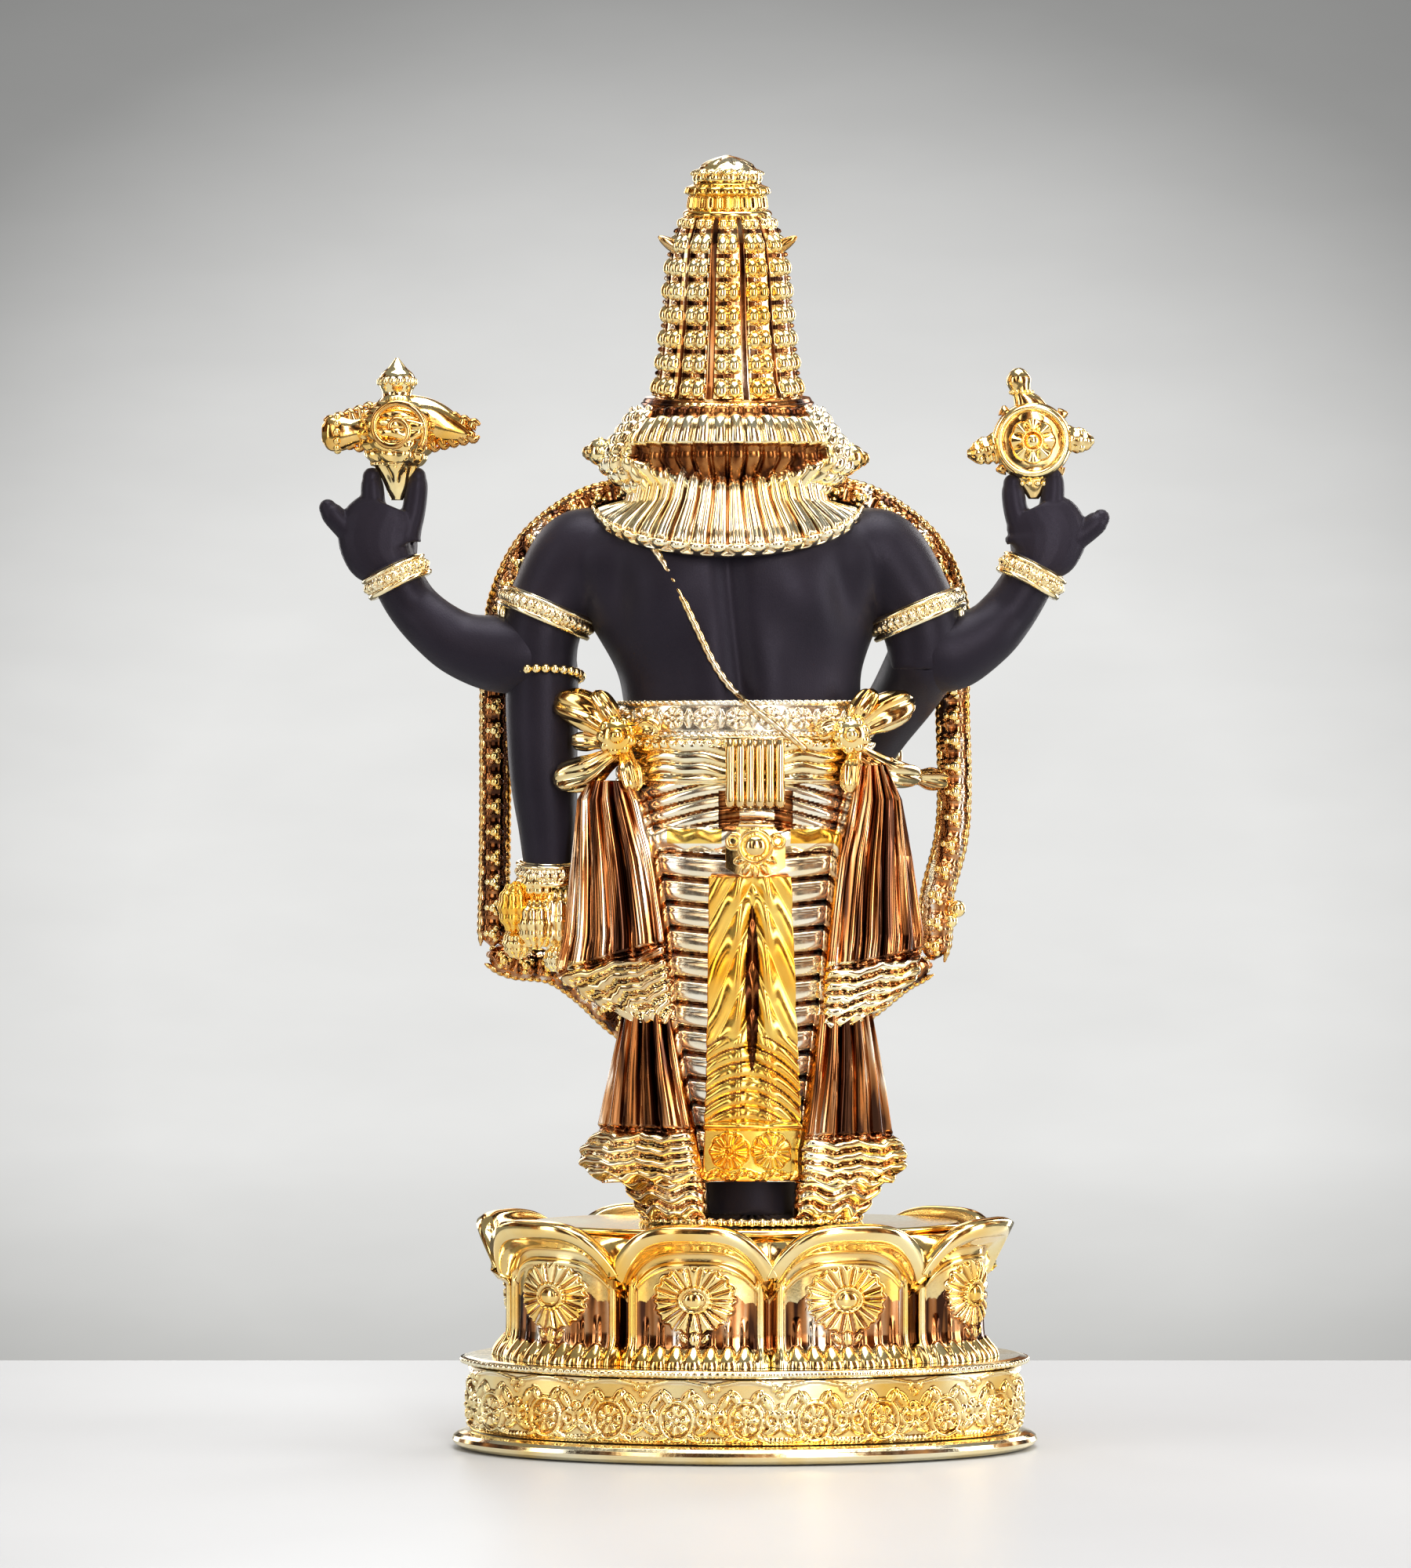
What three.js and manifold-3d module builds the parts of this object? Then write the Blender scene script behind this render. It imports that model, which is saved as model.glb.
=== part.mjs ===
// A standing four-armed shrine statue on an oval lotus pedestal, about 300 mm tall.
// Millimetres, +Z up. The figure faces -Y, its left side is +X, and the origin is the
// middle of the felt pad's underside, on the surface that the statue stands on.
import * as THREE from 'three';
import { mergeVertices } from 'three/addons/utils/BufferGeometryUtils.js';
import { LoftGeometry } from 'three/addons/geometries/LoftGeometry.js';
import Module from 'manifold-3d';

const wasm = await Module();
wasm.setup();

// ---------------------------------------------------------------- driving dimensions

const GAP = 0.3;                 // clearance between neighbouring pieces
const SMOOTHING = 0.12;          // facets flatter than this are merged
const LEAN = 4;                  // how far the chest and head sway towards the figure's left
const LEAN_FROM = 160;           // the sway starts at the waist
const LEAN_TO = 212;             // and is complete at the shoulders

const BASE = { a: 64, b: 33.5 };           // half width and half depth of the plinth
const FELT_TOP = 1.2;
const PLATE_TOP = 4.2;
const PLINTH_TOP = 19.3;
const RIM_TOP = 21.2;
const LOTUS = { a: 62.7, b: 35, top: 51.8, floor: 50.4, petals: 8 };
const LOTUS_SEAM = THREE.MathUtils.degToRad(95.9);   // a joint between petals, at the back
const SEAT_TOP = 52.2;
const FOOT_PLATE = { a: 25.5, b: 20.5, x: -1.5, y: -2.5, top: 54 };
const SOLE = FOOT_PLATE.top + GAP;
const WAIST = 158;               // the leg core ends and the torso starts
const WALL = 2.2;                // plating shell thickness of worn ornaments
const CROWN_TILT = 0.13;         // the crown's foot rises this much per mm towards the brow

// Cross-sections of the body: height, half width, half depth (and centre x, y if moved)
const LEG_ROWS = [
  [SOLE, 11.5, 9.5, -1.5], [70, 12, 10, -1], [100, 15, 11.5], [130, 18, 13.5], [150, 20, 14.5],
  [WAIST - GAP, 22, 15],
];
const TORSO_ROWS = [
  [WAIST, 24, 15.5], [163, 27, 17.5], [172, 27.5, 18], [180, 28.5, 18.3], [190, 33, 19],
  [200, 38, 19.5], [207, 41, 18.5], [213, 36, 16], [217, 27, 13.5], [221, 14, 10.5],
  [223, 9.5, 9.5], [228, 9.2, 9.2],
];
const SKIRT_ROWS = [
  [62.6, 19, 15.5], [72, 20.5, 16], [80, 22, 16.5], [100, 25, 18], [120, 27, 19],
  [140, 28, 19.8], [153.6, 28, 19.6],
];
const HEAD_ROWS = [
  [222, 4.5, 5, 0, -7], [224.5, 8.5, 9.5, 0, -5], [229, 11.3, 12.5, 0, -3],
  [234, 12.6, 14, 0, -2], [240, 13, 14.6, 0, -1], [246, 11.5, 13, 0, -0.5], [250, 7, 8.5],
];
const CROWN_ROWS = [
  [241.3, 18], [247, 17], [260, 15.8], [272, 15.2], [281, 13.2], [285, 11], [291, 10.5],
  [292.7, 9],
];

// ---------------------------------------------------------------- finishes

const FINISHES = {
  gold: { color: 0xe2b04a, roughness: 0.16, metalness: 1 },
  amber: { color: 0xd8921f, roughness: 0.22, metalness: 1 },
  skin: { color: 0x29242b, roughness: 0.72, metalness: 0 },
  felt: { color: 0x31463a, roughness: 0.95, metalness: 0 },
  steel: { color: 0x9fa3a8, roughness: 0.35, metalness: 1 },
  board: { color: 0xa78760, roughness: 0.85, metalness: 0 },
};

// ---------------------------------------------------------------- solids and booleans

const Y_AXIS = new THREE.Vector3(0, 1, 0);
const Z_AXIS = new THREE.Vector3(0, 0, 1);
const lean = (z) => LEAN * THREE.MathUtils.smoothstep(z, LEAN_FROM, LEAN_TO);

// Shared corners only, without the zero-area triangles left where a ring closes to a point.
function weld(geometry) {
  const bare = new THREE.BufferGeometry();
  bare.setAttribute('position', geometry.getAttribute('position'));
  bare.setIndex(geometry.getIndex());
  const merged = mergeVertices(bare, 1e-4);
  const faces = [];
  for (let i = 0; i < merged.index.count; i += 3) {
    const [a, b, c] = [0, 1, 2].map((k) => merged.index.getX(i + k));
    if (a !== b && b !== c && c !== a) faces.push(a, b, c);
  }
  return { points: merged.attributes.position.array, faces };
}

function signedVolume({ points, faces }) {
  const corner = (i) => new THREE.Vector3().fromArray(points, 3 * i);
  let sum = 0;
  for (let i = 0; i < faces.length; i += 3) {
    const [a, b, c] = [0, 1, 2].map((k) => corner(faces[i + k]));
    sum += a.dot(b.cross(c));
  }
  return sum / 6;
}

// A manifold solid from a closed geometry, whichever way round its faces run.
function solid(geometry) {
  const { points, faces } = weld(geometry);
  const triVerts = new Uint32Array(faces);
  if (signedVolume({ points, faces }) < 0) triVerts.reverse();
  const vertProperties = new Float32Array(points);
  return new wasm.Manifold(new wasm.Mesh({ numProp: 3, vertProperties, triVerts }));
}

function toGeometry(body) {
  const { numProp, vertProperties, triVerts } = body.getMesh();
  const positions = new Float32Array((vertProperties.length / numProp) * 3);
  for (let i = 0; i < positions.length / 3; i += 1) {
    for (let k = 0; k < 3; k += 1) positions[3 * i + k] = vertProperties[numProp * i + k];
  }
  const geometry = new THREE.BufferGeometry();
  geometry.setAttribute('position', new THREE.BufferAttribute(positions, 3));
  geometry.setIndex(new THREE.BufferAttribute(new Uint32Array(triVerts), 1));
  return geometry;
}

// The move that takes a corner `by` out from each face that meets there (least squares).
function mitre(normals, by) {
  const m = new Array(9).fill(0);
  const sum = new THREE.Vector3();
  for (const normal of normals) {
    const n = normal.toArray();
    for (let k = 0; k < 9; k += 1) m[k] += n[Math.floor(k / 3)] * n[k % 3];
    sum.add(normal);
  }
  for (const k of [0, 4, 8]) m[k] += 1e-3;
  return sum.multiplyScalar(by).applyMatrix3(new THREE.Matrix3(...m).invert()).clampLength(0, 3 * by);
}

// The same solid with every face moved out by `by`.
function swell(body, by) {
  const { points, faces } = weld(toGeometry(body));
  const normals = Array.from({ length: points.length / 3 }, () => []);
  for (let i = 0; i < faces.length; i += 3) {
    const corners = [0, 1, 2].map((k) => new THREE.Vector3().fromArray(points, 3 * faces[i + k]));
    const normal = corners[1].sub(corners[0]).cross(corners[2].sub(corners[0]));
    if (normal.lengthSq() < 1e-12) continue;
    normal.normalize();
    for (const k of [0, 1, 2]) {
      const known = normals[faces[i + k]];
      if (!known.some((other) => other.dot(normal) > 0.98)) known.push(normal);
    }
  }
  const moved = new Float32Array(points);
  normals.forEach((list, i) => {
    const push = mitre(list, by);
    for (const k of [0, 1, 2]) moved[3 * i + k] += push.getComponent(k);
  });
  const mesh = { numProp: 3, vertProperties: moved, triVerts: new Uint32Array(faces) };
  return new wasm.Manifold(new wasm.Mesh(mesh));
}

const join = (...bodies) => bodies.reduce((sum, body) => sum.add(body));

function largest(body) {
  const bodies = body.decompose();
  return bodies.reduce((best, one) => (one.volume() > best.volume() ? one : best));
}

// ---------------------------------------------------------------- shape helpers

// A closed ring of points: `place(cos, sin, turn)` gives each point.
function ring(sides, place) {
  return Array.from({ length: sides }, (_, i) => {
    const turn = (i / sides) * 2 * Math.PI;
    return place(Math.cos(turn), Math.sin(turn), turn);
  });
}

// A solid skinned over rings of points, which may run either way round.
function loft(sections) {
  const middle = (section) => section.reduce((sum, p) => sum.add(p), new THREE.Vector3())
    .divideScalar(section.length);
  const [start, next] = [middle(sections[0]), middle(sections[1])];
  const facing = sections[0].reduce((sum, p, i, all) => {
    const q = all[(i + 1) % all.length];
    return sum.add(p.clone().sub(start).cross(q.clone().sub(start)));
  }, new THREE.Vector3());
  const backwards = facing.dot(next.sub(start)) < 0;
  const rings = backwards ? sections.map((section) => [...section].reverse()) : sections;
  return solid(new LoftGeometry(rings, { capStart: true, capEnd: true }));
}

// Ovals stacked along Z. Rows: [z, half width, half depth, x, y]; x is added to the lean.
function ovals(rows, { sides = 20, grow = 0, tilt = 0 } = {}) {
  return loft(rows.map(([z, a, b = a, x = 0, y = 0]) => ring(sides, (c, s) => {
    const depth = y + (b + grow) * s;
    return new THREE.Vector3(lean(z) + x + (a + grow) * c, depth, z - tilt * depth);
  })));
}

// A rounded limb through rows of [x, y, z, radius, depth radius]; `deep` is the direction
// that the second radius is measured along.
function limb(rows, { sides = 10, fine = 1, deep = Y_AXIS } = {}) {
  const path = new THREE.CatmullRomCurve3(rows.map(([x, y, z]) => new THREE.Vector3(x, y, z)));
  const sizes = new THREE.CatmullRomCurve3(rows.map((r) => new THREE.Vector3(r[3], r[4] ?? r[3], 0)));
  const steps = (rows.length - 1) * fine;
  const sections = Array.from({ length: steps + 1 }, (_, i) => {
    const centre = path.getPoint(i / steps);
    const size = sizes.getPoint(i / steps);
    const along = path.getTangent(i / steps);
    const down = deep.clone().addScaledVector(along, -along.dot(deep)).normalize();
    const across = down.clone().cross(along);
    return ring(sides, (c, s) => centre.clone()
      .addScaledVector(across, c * size.x).addScaledVector(down, s * size.y));
  });
  return loft(sections);
}

// A hanging fold of cloth: flat ovals between two edge points.
// Rows: [z, inner x, inner y, outer x, outer y, half thickness].
function fold(rows, sides = 12) {
  return loft(rows.map(([z, x0, y0, x1, y1, thick]) => {
    const middle = new THREE.Vector3((x0 + x1) / 2, (y0 + y1) / 2, z);
    const along = new THREE.Vector3(x1 - x0, y1 - y0, 0).multiplyScalar(0.5);
    const out = new THREE.Vector3(-along.y, along.x, 0).setLength(thick);
    return ring(sides, (c, s) => middle.clone().addScaledVector(along, c).addScaledVector(out, s));
  }));
}

// A hood round the back of something, swept from one bearing to the other (0 is +X, 90 is
// the back). Rows: [z, outer half width, outer half depth, inner half width, inner half depth];
// `foot` lifts a point by bearing and height.
function hood({ from, to, steps, rows, x, foot = () => 0 }) {
  const sections = Array.from({ length: steps + 1 }, (_, i) => {
    const bearing = THREE.MathUtils.degToRad(from + ((to - from) * i) / steps);
    const at = (z, a, b) => new THREE.Vector3(
      x + a * Math.cos(bearing), b * Math.sin(bearing), z + foot(bearing, z));
    const outside = rows.map(([z, a, b]) => at(z, a, b));
    const inside = rows.map(([z, , , a, b]) => at(z, a, b)).reverse();
    return [...outside, ...inside];
  });
  return loft(sections);
}

// A flat plate cut from an [x, z] outline, from y = near to y = far.
function slab(outline, near, far) {
  const shape = new THREE.Shape(outline.map(([x, z]) => new THREE.Vector2(x, z)));
  const geometry = new THREE.ExtrudeGeometry(shape, { depth: far - near, bevelEnabled: false });
  return solid(geometry.rotateX(Math.PI / 2).translate(0, far, 0));
}

// A turned shape from [radius, along] points, standing along `axis` at `place`.
function turned(profile, place, axis = Z_AXIS, sides = 16) {
  const lathe = new THREE.LatheGeometry(profile.map(([r, h]) => new THREE.Vector2(r, h)), sides);
  const turn = new THREE.Quaternion().setFromUnitVectors(Y_AXIS, axis.clone().normalize());
  return solid(lathe.applyQuaternion(turn).translate(...place));
}

const rod = (radius, from, to, [x, y], sides = 12) =>
  turned([[0, from], [radius, from], [radius, to], [0, to]], [x, y, 0], Z_AXIS, sides);

// A short sleeve round a limb, centred at `place` along `axis`; the limb cuts its bore.
const sleeve = (radius, length, place, axis) => turned(
  [[0, -length / 2], [radius - 0.6, -length / 2], [radius, -length / 4], [radius, length / 4],
    [radius - 0.6, length / 2], [0, length / 2]], place, new THREE.Vector3(...axis), 10);

// ---------------------------------------------------------------- the statue's pieces

// Pieces are fitted in this order: each one is cut back, by GAP, from those before it.
const pieces = [];

function add(name, finish, body) {
  let fitted = body;
  for (const { swollen, bounds } of pieces) {
    const own = fitted.boundingBox();
    const apart = [0, 1, 2].some((k) => own.min[k] > bounds.max[k] || own.max[k] < bounds.min[k]);
    if (!apart) fitted = fitted.subtract(swollen);
  }
  fitted = largest(fitted.simplify(SMOOTHING));
  const swollen = swell(fitted, GAP);
  pieces.push({ name, finish, body: fitted, swollen, bounds: swollen.boundingBox() });
}

// ---- hidden hardware: a threaded rod clamps the figure to its pedestal

const ROD_X = -1.5;
add('centre_rod', 'steel', rod(3, 8, 84, [ROD_X, 0]));
add('rod_nut', 'steel', rod(5.6, 9, 14, [ROD_X, 0], 6));
add('waist_dowel', 'steel', rod(4, WAIST - 14, WAIST + 14, [0, 0]));
add('neck_dowel', 'steel', rod(2.5, 216, 236, [LEAN, -1], 10));
for (const [side, x] of [['left', 42], ['right', -42]]) {
  const countersunk = [[0, 1.5], [3.6, 1.5], [1.8, 3.3], [1.8, 15], [0, 17]];
  add(`base_screw_${side}`, 'steel', turned(countersunk, [x, 0, 0], Z_AXIS, 10));
}

// ---- pedestal

const OVAL_SIDES = 32;
const disc = (grow, low, high) => ovals([low, high].map((z) => [z, BASE.a + grow, BASE.b + grow]),
  { sides: OVAL_SIDES });

add('felt_pad', 'felt', disc(-1, 0, FELT_TOP));
add('base_plate', 'gold', ovals([
  [FELT_TOP + GAP, 65.5, 35], [FELT_TOP + 1.2, 66.5, 36], [PLATE_TOP - 0.6, 66.2, 35.7],
  [PLATE_TOP, 65, 34.5]], { sides: OVAL_SIDES }));
add('plinth_core', 'board', disc(-WALL - 0.5, PLATE_TOP + GAP, PLINTH_TOP));
add('plinth_band', 'gold', disc(0, PLATE_TOP + GAP, PLINTH_TOP));
add('plinth_rim', 'gold', disc(1.4, PLINTH_TOP + GAP, RIM_TOP));

// Eight broad petals, equally spaced round the oval, their arched tips curling outwards.
function lotus() {
  const perPetal = 6;
  const { a, b, petals, top, floor } = LOTUS;
  const oval = new THREE.EllipseCurve(0, 0, a, b, LOTUS_SEAM, LOTUS_SEAM + 2 * Math.PI);
  const outline = oval.getSpacedPoints(petals * perPetal).slice(0, -1);
  // [height up to the arch, scale of the plan, depth of the groove between petals]
  const levels = [[0, 0.91, 0.03], [0.25, 0.915, 0.04], [0.5, 0.92, 0.045], [0.8, 0.955, 0.05],
    [0.96, 0.995, 0.05], [1, 0.975, 0.05]];
  const low = RIM_TOP + GAP;
  const sections = levels.map(([rise, scale, groove]) => outline.map((point, i) => {
    const arch = Math.sin((Math.PI * (i % perPetal)) / perPetal) ** 0.5;
    const edge = scale - groove * (1 - arch);
    const high = top - 5.5 * (1 - arch);
    return new THREE.Vector3(point.x * edge, point.y * edge, low + rise * (high - low));
  }));
  const bowl = ovals([[floor, 53.4, 28.6], [top + 1, 54.6, 29.8]], { sides: OVAL_SIDES });
  return loft(sections).subtract(bowl);
}
add('lotus_pedestal', 'gold', lotus());
add('lotus_seat', 'gold', ovals([[LOTUS.floor + GAP, 50, 25.5], [SEAT_TOP, 49, 25]], { sides: 32 }));
{
  const { a, b, x, y, top } = FOOT_PLATE;
  add('foot_plate', 'gold', ovals([[SEAT_TOP + GAP, a, b, x, y], [top, a - 0.5, b - 0.5, x, y]],
    { sides: 28 }));
}

// ---- the attributes held in the raised hands

const CONCH = [80.6, 0, 0];
add('conch', 'gold', join(
  turned([[0, 219.6], [1.7, 219.6], [3.6, 225], [6.8, 230], [8.8, 235], [8, 239.5], [4.2, 243.2],
    [3.2, 244.6], [4.2, 247], [3, 250], [1.1, 252.2], [0, 252.4]], CONCH, Z_AXIS, 14),
  limb([[80.6, 0, 235, 4, 3], [88, 0, 235.2, 4, 2.6], [94, 0, 235.2, 3.4, 2], [97.6, 0, 235, 1.6, 1.2]],
    { sides: 8 }),
  limb([[80.6, 0, 236, 4, 3], [72, 0, 236.2, 4, 2.6], [66, 0, 235, 2, 1.4], [62.9, 0, 234.2, 0.7, 0.7]],
    { sides: 8 })));

const DISCUS = [-66.6, 0, 233];
add('discus', 'gold', join(
  turned([[0, -3.2], [4.4, -3], [6.4, -2], [8.2, -1.6], [8.2, 1.6], [6.4, 2], [4.4, 3], [0, 3.2]],
    DISCUS, Y_AXIS, 14),
  limb([[-66.4, 0, 238, 5.6, 2.4], [-64.6, 0, 243, 2.8, 2], [-63.5, 0, 246.4, 3, 2.4],
    [-63.3, 0, 249.6, 1.4, 1.4]], { sides: 8 }),
  limb([[-66.5, 0, 232, 4.6, 2], [-58.4, 0, 230.6, 2.8, 1.6], [-51.8, 0, 230.2, 1.1, 0.9]],
    { sides: 8 }),
  limb([[-66.5, 0, 233, 4.6, 2], [-75, 0, 233.6, 2.6, 1.6], [-80.6, 0, 233.4, 1.2, 0.9]],
    { sides: 8 }),
  limb([[-66.6, 0, 229, 6, 2.2], [-66.8, 0, 224.6, 4.4, 2], [-67, 0, 219.9, 1.6, 1.2]],
    { sides: 8 })));

// ---- body

add('torso', 'skin', join(
  ovals(TORSO_ROWS, { sides: 24 }),
  limb([[38, 0, 208, 10], [44.6, 0, 197, 9.3], [47.4, 1, 188, 9], [47.4, 1, 180.5, 8.4]],
    { sides: 12 }),
  limb([[-31, 0, 208, 10], [-38.2, 0, 197, 9.3], [-41.6, 1, 188, 9], [-41.8, 1, 181, 8.4]],
    { sides: 12 })));

const foot = (side) => limb([
  [side * 5, 3, 61, 6, 6], [side * 7, -8, 60, 6, 5.6], [side * 8.5, -16, 57.9, 6, 3.5],
  [side * 9.5, -21, 56.9, 6, 2.5], [side * 9.7, -23.4, 56.4, 4.4, 1.9]],
{ sides: 8, deep: Z_AXIS }).translate([FOOT_PLATE.x, 0, 0]);
add('legs', 'skin', join(ovals(LEG_ROWS, { sides: 14 }), foot(1), foot(-1)));
add('head', 'skin', ovals(HEAD_ROWS, { sides: 14 }));

add('left_raised_forearm', 'skin', limb([
  [47.4, 1, 183.6, 9], [58.7, 1, 184, 8.7], [65.8, 1, 186, 7.4], [71.5, 1, 189.7, 6.6],
  [76.4, 0, 194.4, 6.1], [79.6, 0, 199.3, 5.9], [81.6, 0, 203.4, 5.7]], { sides: 12 }));
add('right_raised_forearm', 'skin', limb([
  [-41.6, 1, 183.6, 9], [-49.5, 1, 184.6, 8.5], [-56.2, 1, 188.4, 7], [-60.7, 0, 193, 6.4],
  [-64.4, 0, 198.4, 6.1], [-67.4, 0, 203.6, 5.9]], { sides: 12 }));
add('left_lowered_forearm', 'skin', limb([
  [47, 0, 178, 8.2], [47, 0, 168, 8.2], [46.6, 0, 155, 7.8], [45.6, -0.5, 143, 6.8],
  [45, -1.5, 133, 6]], { sides: 12 }));
add('right_lowered_forearm', 'skin', limb([
  [-41.4, 0, 182, 8.4], [-37.6, -8, 175, 7.8], [-32.6, -17, 167, 6.8], [-29.4, -24, 160.4, 5.8]],
{ sides: 12 }));

// Palms and fingers: the first row list is the palm, the others are fingers and thumb.
const hand = (palm, ...fingers) => join(
  limb(palm, { sides: 10 }),
  ...fingers.map((rows) => limb(rows, { sides: 6 })));

add('left_raised_hand', 'skin', hand(
  [[82, 0, 203.9, 6, 4.6], [84.2, 0, 207, 8.6, 4.6], [84.6, 0, 211.4, 9.8, 4.4],
    [83, 0, 215.6, 8.8, 4], [82, 0, 218, 7, 3.4]],
  [[78.6, 0, 211, 3.6], [76.8, 0, 217, 3.1], [76, 0, 223, 2.8], [75.9, 0, 225.4, 1.7]],
  [[83.6, 0, 211, 3.6], [85.8, 0, 217, 3.2], [86.4, 0, 223, 2.9], [86.5, 0, 225.3, 1.8]],
  [[87, 0, 208, 4], [92, 0, 212.4, 3.2], [95.8, 0, 216.4, 2.9], [97, 0, 218, 1.7]],
  [[79, -2, 206, 3.2], [79, -7, 211, 2.8], [82, -8.6, 215, 2.4], [83.6, -8.8, 216.8, 1.4]],
  [[89, -2, 210, 3], [89, -7.4, 213, 2.7], [86.2, -8.6, 209.6, 2.4], [84.8, -8.2, 208, 1.4]]));
add('right_raised_hand', 'skin', hand(
  [[-68, 0, 204.1, 6, 4.6], [-69.4, 0, 207.5, 8.4, 4.6], [-69.8, 0, 212, 9.6, 4.4],
    [-67.6, 0, 216, 7.8, 3.8], [-66.8, 0, 217.6, 6.2, 3.2]],
  [[-65, 0, 211, 3.6], [-63, 0, 216.6, 3.2], [-62.2, 0, 221.6, 2.9], [-62.1, 0, 223.8, 1.8]],
  [[-69, 0, 211, 3.6], [-71, 0, 217.6, 3.2], [-71.6, 0, 223.6, 2.8], [-71.6, 0, 225.8, 1.7]],
  [[-73, 0, 208.6, 4], [-78, 0, 211.4, 3.2], [-81.8, 0, 214.4, 2.9], [-83, 0, 215.6, 1.7]],
  [[-65, -2, 206, 3.2], [-64.6, -7, 211, 2.8], [-67, -8.6, 215, 2.4], [-68.4, -8.8, 216.6, 1.4]],
  [[-74, -2, 210, 3], [-74, -7.4, 212.6, 2.7], [-71.4, -8.6, 209.6, 2.4], [-70, -8.2, 208, 1.4]]));

// The left lower hand rests on the thigh; the right one is held out, palm forward.
add('left_lowered_hand', 'skin', hand(
  [[45, -1.6, 132.6, 5.4, 4.4], [44.6, -4.4, 128, 5.2, 5.6], [43, -8.6, 122.4, 4.4, 6.4],
    [41.4, -12.4, 118.6, 3.6, 6]],
  ...[0, 1, 2, 3].map((i) => [
    [42.4, -8.4 - 2.2 * i, 118.2 + 2.2 * i, 2.7], [40.4, -13 - 2.2 * i, 111.6 + 2.6 * i, 2.3],
    [38.4, -16 - 2 * i, 106.6 + 2.6 * i, 1.3]])));
add('right_lowered_hand', 'skin', hand(
  [[-29, -24.8, 159.6, 5, 4.2], [-28.4, -27.4, 155.4, 6.8, 3.8], [-28, -29, 150, 8.4, 3.6],
    [-27.8, -29.8, 145.6, 7.8, 3.2]],
  ...[-1.5, -0.5, 0.5, 1.5].map((i) => [
    [-27.8 + 3.9 * i, -29.6, 146.6, 2.3], [-27.8 + 4.3 * i, -30.8, 138.6 + Math.abs(i), 2],
    [-27.8 + 4.4 * i, -31, 133 + 1.6 * Math.abs(i), 1.2]]),
  [[-21.8, -27.6, 152, 2.9], [-18, -29.6, 147.4, 2.5], [-16.6, -30.4, 143, 1.3]]));

// ---- jewellery on the arms

add('left_armlet', 'gold', sleeve(10.9, 5.2, [46, 0, 193.4], [-0.38, 0, 0.92]));
add('right_armlet', 'gold', sleeve(10.9, 5.2, [-40, 0, 193], [0.38, 0, 0.92]));
add('left_raised_bracelet', 'gold', sleeve(7.3, 5.4, [80.7, 0, 201.7], [0.42, 0, 0.91]));
add('right_raised_bracelet', 'gold', sleeve(7.4, 5.4, [-66.5, 0, 202], [-0.45, 0, 0.89]));
add('left_lowered_bracelet', 'gold', sleeve(7.6, 5.4, [45, -1.4, 133.4], [0, 0.14, 0.99]));
add('right_lowered_bracelet', 'gold', sleeve(7.2, 5, [-29.6, -23.6, 161], [-0.36, 0.7, 0.62]));

// ---- crown and hair

add('crown_band', 'gold', ovals([
  [235.6, 21.6, 19.4], [237.4, 22.2, 20], [239.4, 21, 19], [241, 20, 18.2]],
{ sides: 22, tilt: CROWN_TILT }));
add('crown', 'gold', ovals(CROWN_ROWS, { sides: 18, tilt: CROWN_TILT }));
add('crown_finial', 'gold', turned([
  [0, 293.2], [10.8, 293.4], [11, 295], [7.4, 296.4], [4, 297.4], [2.4, 298.6], [0, 299.4]],
[LEAN, 0, 0], Z_AXIS, 18));
add('hair_roll', 'gold', hood({
  from: -14, to: 194, steps: 14, x: LEAN,
  rows: [[225.6, 25, 20.6, 15, 12.6], [229.6, 28.2, 23.6, 13, 12], [234.6, 25, 22, 13, 12],
    [239.6, 20.6, 19.4, 13, 12]],
}));
add('hair_cape', 'gold', hood({
  from: 8, to: 172, steps: 12, x: LEAN,
  rows: [[205.4, 30.5, 23.4, 20, 12], [212, 27, 20.4, 16, 10], [218.4, 21, 17.2, 11, 8],
    [222.6, 16.4, 14, 8, 6.6]],
  foot: (bearing, z) => (1 - Math.sin(bearing)) * Math.max(0, 218.4 - z),
}));
add('left_ear_ornament', 'gold', limb([
  [28, -3, 230.2, 2.6], [31, -3, 230.4, 3.2], [34.2, -3, 230.4, 3.3], [37, -3, 230.4, 1.6]],
{ sides: 10 }));
add('right_ear_ornament', 'gold', limb([
  [-20, -3, 229.4, 2.8], [-23, -3, 229, 3], [-25.6, -3, 228.6, 1.8], [-28, -3, 228.2, 0.6]],
{ sides: 10 }));

// ---- the skirt, its back panel and the belts

add('dhoti', 'gold', ovals(SKIRT_ROWS, { sides: 24 }));
add('hip_belt', 'gold', ovals([
  [153.9, 28.8, 20.2], [156, 29.4, 20.8], [162, 29.4, 20.8], [164.1, 28.8, 20.2]],
{ sides: 20 }));
add('waist_belt', 'gold', ovals([
  [164.4, 28.6, 19.6], [166, 29.6, 20.4], [171, 29.6, 20.4], [172.8, 28.8, 19.8]],
{ sides: 20 }));

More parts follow.
